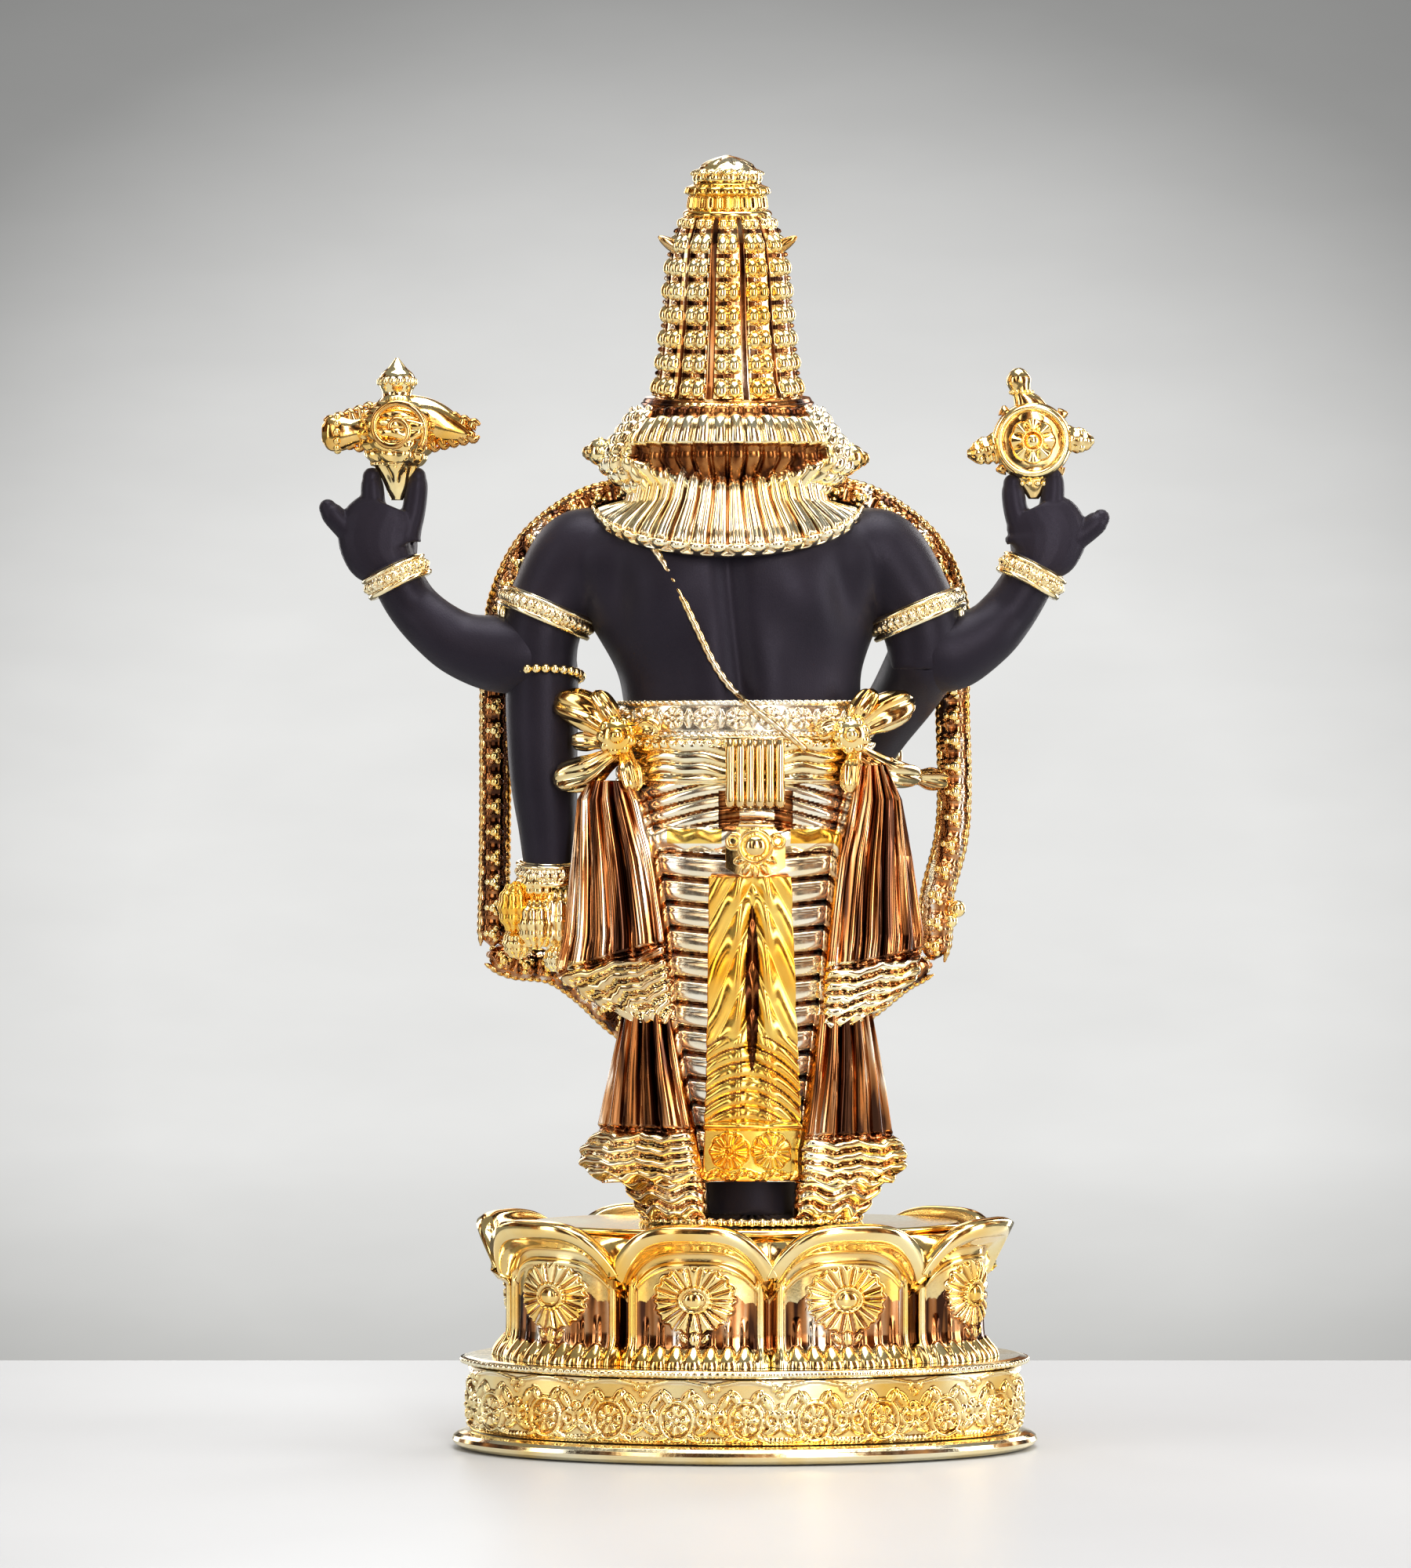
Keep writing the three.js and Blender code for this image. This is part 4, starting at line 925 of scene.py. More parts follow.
p = round_form(CROWN_ROWS, crown_relief, 270, 430)
# painted shade: the channels between columns and the gaps between tiers take the dark gold
about = np.arctan2(p[..., 1], p[..., 0] - LEAN)
crown_shade = np.abs(wrap(about, TAU / 12)) > 0.80 * TAU / 24
gap = np.abs((((p[..., 2] - 243.6) / 5.5 + 0.04) % 1.0) - 0.5) > 0.41
crown_shade = (crown_shade | gap) & (p[..., 2] > 243.6) & (p[..., 2] < 285)
crown = Patches().grid(tilted(p), wrap_u=True, tone=crown_shade[:, :-1].astype(int))
for side, at in ((1, math.radians(20)), (-1, math.radians(160))):
    tip = np.array([LEAN + 14.2 * math.cos(at), 14.2 * math.sin(at), 279 - 14 * CROWN_TILT * math.sin(at)])
    out = np.array([math.cos(at), math.sin(at), 0.55])
    horn = ((-2, 1.5), (0, 1.4), (1.8, 0.9), (2.8, 0.25))
    crown.limb([[*(tip + out * reach), radius] for reach, radius in horn], 12, 0.3)
gilded("crown", crown, GOLD, SHADE_REFLECTION_GOLD)


def finial_relief(turn, z, radius):
    petal = 0.9 * (np.abs(np.cos(6 * turn)) ** 0.7 - 0.6) * smoothstep(radius, 1.5, 5)
    upper = 0.8 * (np.abs(np.cos(4 * turn + 0.4)) ** 0.7 - 0.5) * smoothstep(z, 296.6, 297.4)
    ring = beads(turn * radius, z, TAU * 7.4 / 20, 295.4, 0.8, 0.8)
    return petal * (1 - smoothstep(z, 295.6, 296.2)) + upper * smoothstep(radius, 1.5, 5) + ring


finial_rows = [[292.6, 7.0], [293.2, 7.6], [294.0, 7.9], [295.0, 7.6], [296.0, 7.0], [297.0, 6.0],
               [297.9, 4.7], [298.7, 3.0], [299.2, 1.5], [299.4, 0.1]]
p = round_form(finial_rows, finial_relief, 70, 220)
gilded("crown_finial", Patches().grid(tilted(p, 0.1), wrap_u=True), PALE)

band_rows = [[235.4, 22.2], [236.6, 23.3], [237.6, 22.8], [238.6, 20.8], [240.0, 20.0], [241.6, 19.4],
             [242.6, 19.8], [243.3, 19.0]]


def band_relief(turn, z, radius):
    """Beaded recess under the crown's foot."""
    arc = turn * 20.5
    pitch = TAU * 20.5 / 60
    h = beads(arc, z, pitch, 239.7, 0.95, 1.0)
    h = np.maximum(h, ridge(z, 241.9, 0.45, 0.55))
    return np.maximum(h, beads(arc, z, TAU * 20.5 / 44, 236.8, 1.2, 0.9))


p = round_form(band_rows, band_relief, 50, 430, 0.9)
ahead = smoothstep(-p[..., 1], 4, 16) * np.clip((241.5 - p[..., 2]) / 6, 0, 1)
p = tilted(p)
p[..., 1] += 4.2 * ahead                 # the band sits closer over the brow
p[..., 2] += 1.2 * ahead
# painted shade: the whole band takes the near-black gold, as it lies under the crown's overhang
gilded("crown_band", Patches().grid(p, wrap_u=True), RECESS_SHADE_GOLD)


def hood(rows, arc, relief, thick=2.2, pitch=0.3, lift=None, dark=None):
    """Curved band round the back of the head. Rows: [z, a, b]; dark(turn, z) picks the faces painted with
    recess shade.
    """
    turn = np.radians(np.linspace(arc[0], arc[1], steps((arc[1] - arc[0]) * 0.45, pitch)))[:, None]
    fine = smooth_rows(rows, steps(rows[-1][0] - rows[0][0] + 6, pitch))
    z, a, b = [fine[:, k][None, :] for k in range(3)]
    high = z + (lift(turn, z) if lift else 0 * turn)
    p = np.stack([LEAN + a * np.cos(turn), b * np.sin(turn), high], -1)
    tone = 0 if dark is None else dark(turn, z)[:-1, :-1].astype(int)
    return Patches().shell(p, relief(turn, z), thick, outward=lambda q: (q - [LEAN, 0, 0]) * [1, 1, 0],
                           tone=tone)


LOCK = TAU / 42                          # one lock of hair, all round the head


def behind(turn):
    """1 on the back of the head, 0 at its sides."""
    return 1 - smoothstep(np.abs(turn - math.pi / 2), math.radians(50), math.radians(56))


def crescent_low(turn):
    return 221.6 + 9.0 * (1 - np.cos(1.45 * (turn - math.pi / 2)))


# painted shade: the sunk crescent and the roll's top under the crown band
def roll_shade(turn, z):
    return ((z < 230.8) & (z > crescent_low(turn)) | (z > 236.8)) & (behind(turn) > 0.5)


def hair_fringe(turn, z):
    """Straight ridged locks above a sunk crescent; beaded twists at the sides."""
    u = wrap(turn, LOCK) / (LOCK / 2)
    lock = 1.7 * root(1 - (1.06 * u) ** 2) * (1 - 0.25 * np.sin(9 * np.round(turn / LOCK)))
    swell = 0.9 * dome(z - 233.4, 3.8, 1.1) + 0.5 * ridge(z, 238.9, 0.5, 0.6)
    sunk = -2.0 * smoothstep(231.2 - z, 0, 0.8) * smoothstep(z - crescent_low(turn), -0.4, 0.6)
    back = lock * (1 - 0.6 * smoothstep(z, 236.4, 237.2)) + swell + sunk
    column = wrap(turn, 1.4 * LOCK) * 24
    twist = dome(np.hypot(column, wrap(z - 0.5 * column, 2.5)), 1.55, 1.9)
    return back * behind(turn) + (twist + 0.4) * (1 - behind(turn))


roll_rows = [[221.0, 20.6, 18.2], [224.0, 24.0, 20.2], [227.6, 27.8, 22.6], [231.6, 26.4, 22.8],
             [235.0, 24.0, 22.0], [239.6, 20.8, 19.6]]
gilded("hair_roll", hood(roll_rows, (-14, 194), hair_fringe, dark=roll_shade), PALE, RECESS_SHADE_GOLD)


def cape_relief(turn, z):
    """Long straight locks fanning down to a beaded, scalloped hem."""
    u = wrap(turn, LOCK) / (LOCK / 2)
    uneven = 0.85 + 0.25 * np.sin(37.0 * np.round(turn / LOCK))
    strand = 1.9 * uneven * root(1 - (1.12 * u) ** 2)
    split = 0.35 * bell(u - 0.15, 0.12)
    deep = smoothstep(z, 207.2, 208.6)
    tip = dome(np.hypot(u * 1.15, (z - 206.9 - 0.5 * u * u)), 1.25, 2.4)
    return np.maximum((strand - split) * deep, tip)


# painted shade: the gaps between locks take the dark gold
def cape_gap_shade(turn, z):
    u = np.abs(wrap(turn, LOCK) / (LOCK / 2))
    return (u > 0.86) & (z > 208)


def cape_lift(turn, z):
    return (1 - np.sin(turn)) * (np.maximum(0, 218.4 - z) * 0.92 + 14 * smoothstep(z, 217.5, 223))


cape_rows = [[205.6, 31.6, 23.6], [209, 29.6, 22.8], [212, 27.6, 21.8], [217.4, 23.2, 20.6],
             [221.0, 21.0, 19.6], [223.2, 19.6, 18.2]]
gilded("hair_cape", hood(cape_rows, (4, 176), cape_relief, 2.0, 0.24, cape_lift, cape_gap_shade), PALE, SHADE_REFLECTION_GOLD)

EAR_STEM = ((-5, 0, 2.2), (-1, 0, 2.0), (3, -0.2, 1.7), (4.2, -0.4, 0.6))     # reach, drop, radius
for node, (x, y, z), sign in (("left_ear_ornament", (33.4, 2.6, 230.4), 1),
                              ("right_ear_ornament", (-24.6, 2.8, 229), -1)):
    ear = Patches()
    ear.ball((x, y, z), 3.2, (1, 1, 1), 28)
    for k in range(10):
        turn = TAU * k / 10
        ear.ball((x, y + 2.9 * math.cos(turn), z + 2.9 * math.sin(turn)), 0.75, sides=10)
    ear.limb([[x + sign * reach, y, z + drop, radius] for reach, drop, radius in EAR_STEM], 20, 0.4)
    gilded(node, ear, GOLD)


# ------------------------------------------------------------------ jewellery

def bangle(radius, length, at, axis):
    """Rounded band with a beaded middle between two edge cords, standing along an axis."""
    half = length / 2
    profile = [(-1.9, -half), (-0.6, -half), (0, -half + 0.5), (0, half - 0.5), (-0.6, half), (-1.9, half),
               (-1.9, 0), (-1.9, -half)]
    pitch = TAU * radius / round(TAU * radius / 1.9)

    def relief(s, z, along, around):
        outer = between(along, 1.3, 1.7, length + 0.9, length + 1.3)
        h = beads(s, z, pitch, 0, 0.9, 1.0)
        for edge in (-1, 1):
            h = np.maximum(h, ridge(z, edge * (half - 0.75), 0.5, 0.65))
            h = np.maximum(h, beads(s, z, pitch / 2, edge * (half - 1.75), 0.42, 0.5))
        return h * outer

    return place(oval_turn(radius, radius, profile, relief, pitch=0.2, lengthwise=0.25), at, axis)


for node, radius, length, at, axis in (
        ("left_armlet", 11.0, 5.2, [46, 0.4, 193.4], [-0.38, 0, 0.92]),
        ("right_armlet", 11.0, 5.2, [-40, 0.4, 193], [0.38, 0, 0.92]),
        ("left_raised_bracelet", 7.4, 5.4, [80.7, 0, 201.7], [0.42, 0, 0.91]),
        ("right_raised_bracelet", 7.5, 5.4, [-66.5, 0, 202], [-0.45, 0, 0.89]),
        ("left_lowered_bracelet", 7.5, 5.4, [45, -1.4, 133.4], [0, 0.14, 0.99]),
        ("right_lowered_bracelet", 7.2, 5, [-29.6, -23.6, 161], [-0.36, 0.7, 0.62])):
    ring = Patches().grid(bangle(radius, length, at, axis), wrap_u=True)
    if node == "left_lowered_bracelet":      # thin bead chain above, at the elbow
        chain = oval_arc(9.2, 9.2, 26)[0]
        for turn in chain:
            ring.ball((46.9 + 9.0 * math.cos(turn), 0.6 + 9.0 * math.sin(turn), 178.6 + 1.6 * math.sin(turn)),
                      1.15, sides=10)
    if node.endswith("armlet"):              # flame-shaped crest on the outer side
        side = 1 if node.startswith("left") else -1
        x0, z0 = at[0] + side * 10.2, at[2] - 2.2
        for dy, dz, r in ((0, 3.2, 2.4), (-3.2, 2.0, 1.8), (3.2, 2.0, 1.8), (0, 6.4, 1.6)):
            ring.ball((x0 - side * 0.38 * dz * 0.4, dy, z0 + dz), r, (0.7, 1, 1.2), 16)
    gilded(node, ring, PALE)


def rearward(q):
    return np.eye(3)[1] * np.ones_like(q)


def back_skin(x, z, grow=0.0):
    """The back of the torso or the belts at a place seen from behind, `grow` outside the skin."""
    a, b = by_height([row[:3] for row in TORSO_ROWS], z)
    u = np.clip((x - lean(z)) / a, -0.98, 0.98)
    return (b + grow) * np.sqrt(1 - u ** 2)


turn = np.linspace(math.radians(200), math.radians(340), steps(130, 0.3))[:, None]
reach = np.linspace(12, 25.2, steps(26, 0.3))[None, :]
x = LEAN + reach * np.cos(turn)
z = 217 + reach * np.sin(turn)
p = np.stack([x, -back_skin(x, z, 0.9), z], -1)
arc = turn * 20


def collar_relief():
    h = np.maximum(ridge(reach, 13.0, 0.7, 1.0), beads(arc, reach, 2.3, 15.0, 1.05, 1.4))
    h = np.maximum(h, beads(arc, reach, 3.6, 18.2, 1.6, 1.5))
    h = np.maximum(h, ridge(reach, 20.4, 0.4, 0.9))
    drop = dome(np.hypot(wrap(arc, 3.2), (reach - 22.6) / 1.6), 1.35, 1.6)
    return np.maximum(h, drop)


gilded("collar", Patches().shell(p, collar_relief(), 0.9, outward=lambda q: -rearward(q)), GOLD)

pendant_low, pendant_high = span("chest_pendant")
cx, cz = centre("chest_pendant")[0], centre("chest_pendant")[2]
turn = np.linspace(0, TAU, steps(90, 0.3), endpoint=False)[:, None]
reach = np.linspace(0, 6.3, steps(18, 0.3))[None, :]
h = rosette(reach * np.cos(turn), reach * np.sin(turn), 5.0, 8, 1.4, 0.34)
h = np.maximum(h, beads(turn * 5.6, reach, TAU * 5.6 / 24, 5.6, 0.7, 0.8))
front_y = pendant_low[1] + 1.6
face_p = np.stack([cx + reach * np.cos(turn), front_y - h, cz + reach * np.sin(turn)], -1)
rear_p = np.stack([cx + reach[:, ::-1] * np.cos(turn), pendant_high[1] + 0 * reach + 0 * turn,
                   cz + reach[:, ::-1] * np.sin(turn)], -1)
gilded("chest_pendant", Patches().grid(np.concatenate([face_p, rear_p], 1), wrap_u=True), GOLD)


thread = smooth_rows([[22.4, 209.5], [18.6, 204], [14.6, 196.5], [11, 189], [7.4, 181.6], [3.6, 176],
                      [-1, 171.6], [-7.5, 166.6], [-13.6, 161.6]], 160)
over_belt = 3.6 * (1 - smoothstep(thread[:, 1], 171.6, 174.6))
path = np.stack([thread[:, 0], back_skin(thread[:, 0], thread[:, 1], 0.9) + over_belt, thread[:, 1]], -1)
gilded("sacred_thread", Patches().tube(path, np.full(len(path), 0.82), 20,
      shape=lambda along, turn: 1 + 0.10 * np.cos(2 * turn + TAU * along / 2.6)), PALE)

# ------------------------------------------------------------------ dress

SKIRT_ROWS = [[62.6, 19, 15.5], [72, 20.5, 16], [80, 22, 16.5], [100, 25, 18], [120, 27, 19],
              [140, 28, 19.8], [154.5, 28, 19.6]]


def skirt_back(x, z, grow=0.0):
    a, b = by_height(SKIRT_ROWS, z)
    return (b + grow) * root(1 - (x / (a + grow)) ** 2)


def oval_stack(rows, relief, pitch=0.3, around=0.32, gaps=None):
    """Closed tubular garment from [z, a, b] rows with relief(s, z, turn); gaps(z, turn) gives each face a
    tone, such as painted shade in the gaps.
    """
    z = np.linspace(rows[0][0], rows[-1][0], steps(rows[-1][0] - rows[0][0], pitch))
    a, b = by_height(rows, z)
    middle = len(z) // 2
    girth = TAU * math.sqrt((a[middle] ** 2 + b[middle] ** 2) / 2)
    t, s, total = oval_arc(a[middle], b[middle], steps(girth, around))
    p = np.stack([a[None] * np.cos(t)[:, None], b[None] * np.sin(t)[:, None], z[None] + 0 * t[:, None]], -1)
    h = relief(s[:, None], z[None, :], t[:, None], total)
    tone = 0 if gaps is None else gaps(z[None, :], t[:, None])[:, :-1].astype(int)
    return Patches().shell(p, h + 0 * p[..., 0], 2.2, wrap_u=True, outward=lambda q: q * [1, 1, 0],
                           tone=tone)


def pleat_phase(z, turn):
    """0 at a fold's lower lip, 1 under the next fold; the folds hang round each leg in front."""
    x, front = 26 * np.cos(turn), smoothstep(-np.sin(turn), 0.1, 0.5)
    return ((z - 64.0 + 0.9 * np.cos(x / 9.0) * (1 - front) - 2.4 * np.cos(x / 4.4) * front) / 5.7) % 1.0


def swag_phase(z, turn):
    return ((z - 141.6 - 3.8 * np.cos(26 * np.cos(turn) / 11.5)) / 3.1) % 1.0


def front_pleats(z, turn):
    """Half width measure of the narrow pleated fall down the front: below 1 is inside it."""
    return np.where(np.sin(turn) < 0, np.abs(26 * np.cos(turn)) / (4.4 + 0.035 * (150 - z)), 9.0)


ROLL_TOP = 143.8                         # a thicker amber roll runs under the swags


def pleats(s, z, turn, total):
    """Horizontal draped folds, finer swags below the belts and a pleated fall in front."""
    phase = pleat_phase(z, turn)
    fold = 1.9 * np.clip(1 - np.abs((phase - 0.44) / 0.46) ** 3.2, 0, 1) ** 0.6
    crease = 0.3 * bell((phase - 0.62) * 5.7, 0.3)
    low = 1 - smoothstep(z, 137.6, 138.4)
    high = 1.3 * root(np.sin(swag_phase(z, turn) * math.pi))
    high = np.where(z < ROLL_TOP, dome(z - 141.2 + 0.4 * np.cos(26 * np.cos(turn)), 2.9, 2.3), high)
    hem = beads(s, z, 2.4, 64.2, 1.1, 1.2)
    inside = front_pleats(z, turn)
    fall = (1.6 + 1.3 * np.abs(np.cos(math.pi * 3 * inside)) ** 0.7) * (1 - smoothstep(inside, 0.96, 1.02))
    fall = np.where(z < 72, fall + 0.5 * np.cos(TAU * z / 2.6), fall)
    h = np.maximum(low * (fold - crease) + (1 - low) * high, hem)
    return np.where(inside < 1.02, np.maximum(fall, 0.4 * h), h) - 0.2


# painted shade in the gaps between folds and swags and in two slots on the back; an amber band under the
# swags
def pleat_gaps(z, turn):
    phase, swag = pleat_phase(z, turn), swag_phase(z, turn)
    x = 26 * np.cos(turn)
    slots = (np.sin(turn) > 0) & (np.abs(z - 147.25) < 4.75) & (np.abs(np.abs(x + 2) - 5.6) < 2)
    gaps = np.where(z < 138, (phase < 0.02) | (phase > 0.87), ((swag < 0.1) | (swag > 0.9)) & (z > ROLL_TOP))
    dark = (gaps & (front_pleats(z, turn) > 1)) | slots
    amber = (np.abs(z - 141.6) < 1.7) & (np.abs(np.abs(x + 2) - 12.5) < 5.5) & (np.sin(turn) > 0)
    return np.where(amber, 2, dark.astype(int))


gilded("dhoti", oval_stack(SKIRT_ROWS, pleats, 0.3, 0.4, gaps=pleat_gaps), SILKY, RECESS_SHADE_GOLD, AMBER)


def flower_belt(s, z, turn, total):
    low, high = span("waist_belt")[0][2], span("waist_belt")[1][2]
    mid = (low + high) / 2
    pitch = total / round(total / 7.6)
    h = rosette(wrap(s, pitch), z - mid, 2.5, 7, 1.3, 0.34)
    diamond = np.clip(1 - (np.abs(wrap(s + pitch / 2, pitch)) / 1.1 + np.abs(z - mid) / 2.3), 0, 1)
    h = np.maximum(h, 1.2 * np.sqrt(diamond))
    for edge in (low + 0.6, high - 0.6):
        h = np.maximum(h, rope(s, z, edge, 0.62, 1.7, 1.0))
    return h


waist_rows = [[164.4, 28.8, 19.8], [166, 29.4, 20.2], [171, 29.4, 20.2], [172.8, 28.8, 19.8]]
gilded("waist_belt", oval_stack(waist_rows, flower_belt, 0.2, 0.26), SILKY)


def hip_folds(s, z, turn, total):
    """Wide sash of shallow cloth folds with a bead line under the belt."""
    low, high = span("hip_belt")[0][2], span("hip_belt")[1][2]
    wave = z + 0.7 * np.sin(TAU * s / 31) + 0.3 * np.sin(TAU * s / 11)
    h = 0.8 * np.abs(np.cos(math.pi * wave / 2.7)) ** 0.7
    h = np.maximum(h, beads(s, z, total / round(total / 2.2), high - 1.3, 0.95, 1.3))
    return np.maximum(h, ridge(z, low + 0.7, 0.7, 1.1))


hip_rows = [[153.6, 28.8, 20.2], [156, 29.2, 20.6], [162, 29.2, 20.6], [164.3, 28.8, 20.2]]
gilded("hip_belt", oval_stack(hip_rows, hip_folds, 0.22, 0.3), PALE)

tassel = Patches()
t_low, t_high = span("belt_tassel")
strands = 6
for i in range(strands):
    u = (i + 0.5) / strands
    x = t_low[0] + (t_high[0] - t_low[0]) * u
    rows = [[x, t_high[1] - 2.2 + 0.2 * math.cos(3 * u), t_high[2] - 0.2, 1.0],
            [x, t_high[1] - 1.2, t_high[2] - 3, 1.12], [x, t_high[1] - 0.9, t_low[2] + 4.5, 1.0],
            [x, t_high[1] - 1.2, t_low[2] - 0.6, 1.15], [x, t_high[1] - 1.6, t_low[2] - 1.8, 0.4]]
    tassel.limb(rows, 20, 0.35)
plate = ((t_low[0], t_high[1] - 2.6), (-2.2, t_high[1] - 1.6), (t_high[0], t_high[1] - 2.6))
grid = np.stack([np.stack([np.full(2, x), np.full(2, y), [t_low[2] + 1, t_high[2]]], -1)
                 for x, y in plate])
# painted shade: a plate behind the strands in the dark gold
tassel.shell(grid, np.zeros(grid.shape[:2]), 1.2, outward=rearward, tone=1)
gilded("belt_tassel", tassel, PALE, SHADE_REFLECTION_GOLD)


def outline_sheet(left, right, low, high, relief, grow, thick, pitch=0.28, dark=None):
    """Sheet on the back of the skirt between two edge curves x(z)."""
    z = np.linspace(low, high, steps(high - low, pitch))[None, :]
    u = np.linspace(0, 1, steps(26, pitch))[:, None]
    x = left(z) + (right(z) - left(z)) * u
    p = np.stack([x, skirt_back(x, z, grow), z + 0 * x], -1)
    tone = 0 if dark is None else dark(x, z)[:-1, :-1].astype(int)
    return Patches().shell(p, relief(x, z), thick, outward=rearward, tone=tone)


def panel_groove_shade(x, z):
    """Painted shade in the slit down the middle of the back panel and in the creases across its foot."""
    half = 1.5 * np.sin(math.pi * np.clip((z - 88) / 38, 0, 1)) ** 0.5
    strip = np.abs(((z + 0.05 * x * x) / 3.4) % 1.0 - 0.5) < 0.09
    return (np.abs(x + 1.6) < half) | (strip & (z < 96) & (z > 77) & (np.abs(x + 1.6) > 1.5))


def edge_curve(points):
    z, x = zip(*sorted((z, x) for x, z in points))
    return lambda at: np.interp(at, z, x)


def panel_relief(x, z):
    """Amber cloth: centre groove, soft crossing folds and a swirl-flowered hem."""
    groove = -1.2 * bell(x + 1.6, 1.3) * between(z, 84, 92, 126, 131)
    sides = 1.1 * bell(np.abs(x + 1.6) - 3.1, 1.3)
    slant = z * 0.62 + np.abs(x + 1.6) * 1.25 + 0.8 * np.sin(z / 7.0)
    soft = 0.85 * np.abs(np.cos(math.pi * slant / 5.6)) ** 0.8 * smoothstep(z, 92, 98)
    soft = soft + 0.3 * np.sin(z / 2.9 + 1.4 * np.sin(x / 3.0)) * np.sin(x / 2.6 + z / 21)
    strips = 0.9 * np.abs(np.cos(math.pi * (z + 0.05 * x * x) / 3.4)) * between(z, 76, 77, 92, 98)
    hem = z < 76
    petals = np.maximum(*(rosette(x - at, z - 69.8, 4.4, 9, 1.5, 0.3) for at in (3.4, -5.6)))
    border = np.maximum(ridge(z, 75.4, 0.7, 1.2), rope(x, z, 64.3 + 0.5 * np.cos(x), 0.8, 1.8, 1.5))
    return np.where(hem, np.maximum(petals, border), sides + groove + soft + strips) + 1.3


left_edge = edge_curve([(-12.6, 63.6), (-12, 76), (-11.4, 92), (-10, 132)])
right_edge = edge_curve([(9.4, 63.6), (8.8, 76), (8.4, 92), (8, 132)])
panel = outline_sheet(left_edge, right_edge, 63.0, 132.6, panel_relief, 1.8, 1.4, dark=panel_groove_shade)
piece("back_panel", panel, "amber_plating", AMBER, RECESS_SHADE_GOLD)


def clasp_relief(x, z):
    """Crest with a boss, side scrolls and hanging points."""
    cx, cz = -2.2, 139.4
    boss = dome(np.hypot(x - cx, z - cz), 2.6, 1.9)
    ring = ridge(np.hypot(x - cx, z - cz), 3.5, 0.5, 1.0)
    curls = sum(ridge(np.hypot(x - cx - side * 5.0, z - cz - 1.2), 1.35, 0.5, 1.1) for side in (-1, 1))
    rays = sum(leaf(x, z, cx + 3.4 * math.cos(a), cz - 1.6 + 4.2 * math.sin(a), a, 3.6, 1.7, 1.1)
               for a in np.radians([200, 235, 270, 305, 340]))
    return np.maximum.reduce([boss, ring, curls, rays, ridge(z, 144.0, 0.6, 1.0) + 0 * x]) + 0.5


clasp_left = edge_curve([(-2.4, 131.4), (-7.5, 133.6), (-9, 134.6), (-9, 141), (-5.5, 144.8)])
clasp_right = edge_curve([(-2.0, 131.4), (3, 133.6), (4.5, 134.6), (4.5, 141), (1, 144.8)])
gilded("clasp", outline_sheet(clasp_left, clasp_right, 131.4, 144.8, clasp_relief, 2.6, 1.6, pitch=0.2), GOLD)


def drape(rows, edge_z, slope, flutes, border):
    """Hanging fluted cloth between [z, x0, y0, x1, y1, half thickness] rows.

    Its ornate border starts at height edge_z and climbs by `slope` across the cloth.
    """
    z = np.linspace(rows[0][0], rows[-1][0], steps(rows[-1][0] - rows[0][0], 0.3))
    x0, y0, x1, y1, thick = by_height(rows, z)
    width = float(np.mean(np.hypot(x1 - x0, y1 - y0)))
    u = np.linspace(0, 1, steps(width * 1.15, 0.3))[:, None]
    side = np.array([(x1 - x0), (y1 - y0)])
    out = np.array([-side[1], side[0]]) / np.hypot(*side)
    if np.mean(out[1]) < 0:
        out = -out
    body = thick * root(1 - (2 * u - 1) ** 2)
    cut = edge_z + slope * u
    foot = cut - z[None, :]
    wander = u + 0.012 * np.sin(z / 9.0)[None, :]
    flute = np.abs(np.cos(math.pi * flutes * wander)) ** 0.75
    second = np.abs(np.cos(math.pi * (flutes * 2 + 1) * wander + 0.6))
    cloth = (2.5 * flute + 0.35 * second) * smoothstep(-foot, -0.4, 1.4)
    s = u * width + 0 * z[None, :]
    h = np.maximum(cloth, border(s, foot) * smoothstep(foot, -0.6, 0.2)) - 0.8
    h = h * between(u, 0, 0.03, 0.97, 1)
    ripple = 0.6 * np.sin(TAU * s / 5.2) * (1 - smoothstep(z[None, :], rows[0][0], rows[0][0] + 4))

    def sheet(sign, relief):
        reach = sign * (body + relief)
        px = x0 + (x1 - x0) * u + out[0] * reach
        py = y0 + (y1 - y0) * u + out[1] * reach
        return np.stack([px, py, z[None, :] + ripple], -1)

    loop = close_ends(np.concatenate([sheet(1, h), sheet(-1, 0.5 * h)[::-1]], 0))
    # painted shade in the hem's valleys and painted reflection on the fluted cloth, both in the dark gold;
    # the raised hem takes the pale gold
    split = np.argmin(np.abs(z - np.mean(cut))) + 1
    valley = np.concatenate([h, h[::-1]], 0)[:, :split] < 0.35
    tone = np.zeros((len(loop), loop.shape[1] - 1), int)
    tone[:, :split] = ~valley
    return Patches().grid(loop, wrap_u=True, tone=tone)


def gold_hem(s, foot):
    """Border of a sash: stacked cords rippling with the flutes."""
    wave = foot + 0.4 * np.sin(TAU * s / 8.4 + 0.5) + 0.15 * np.sin(TAU * s / 3.1)
    return 2.4 * np.abs(np.sin(math.pi * wave / 2.9)) ** 0.6 * (wave > 0) + 0.2


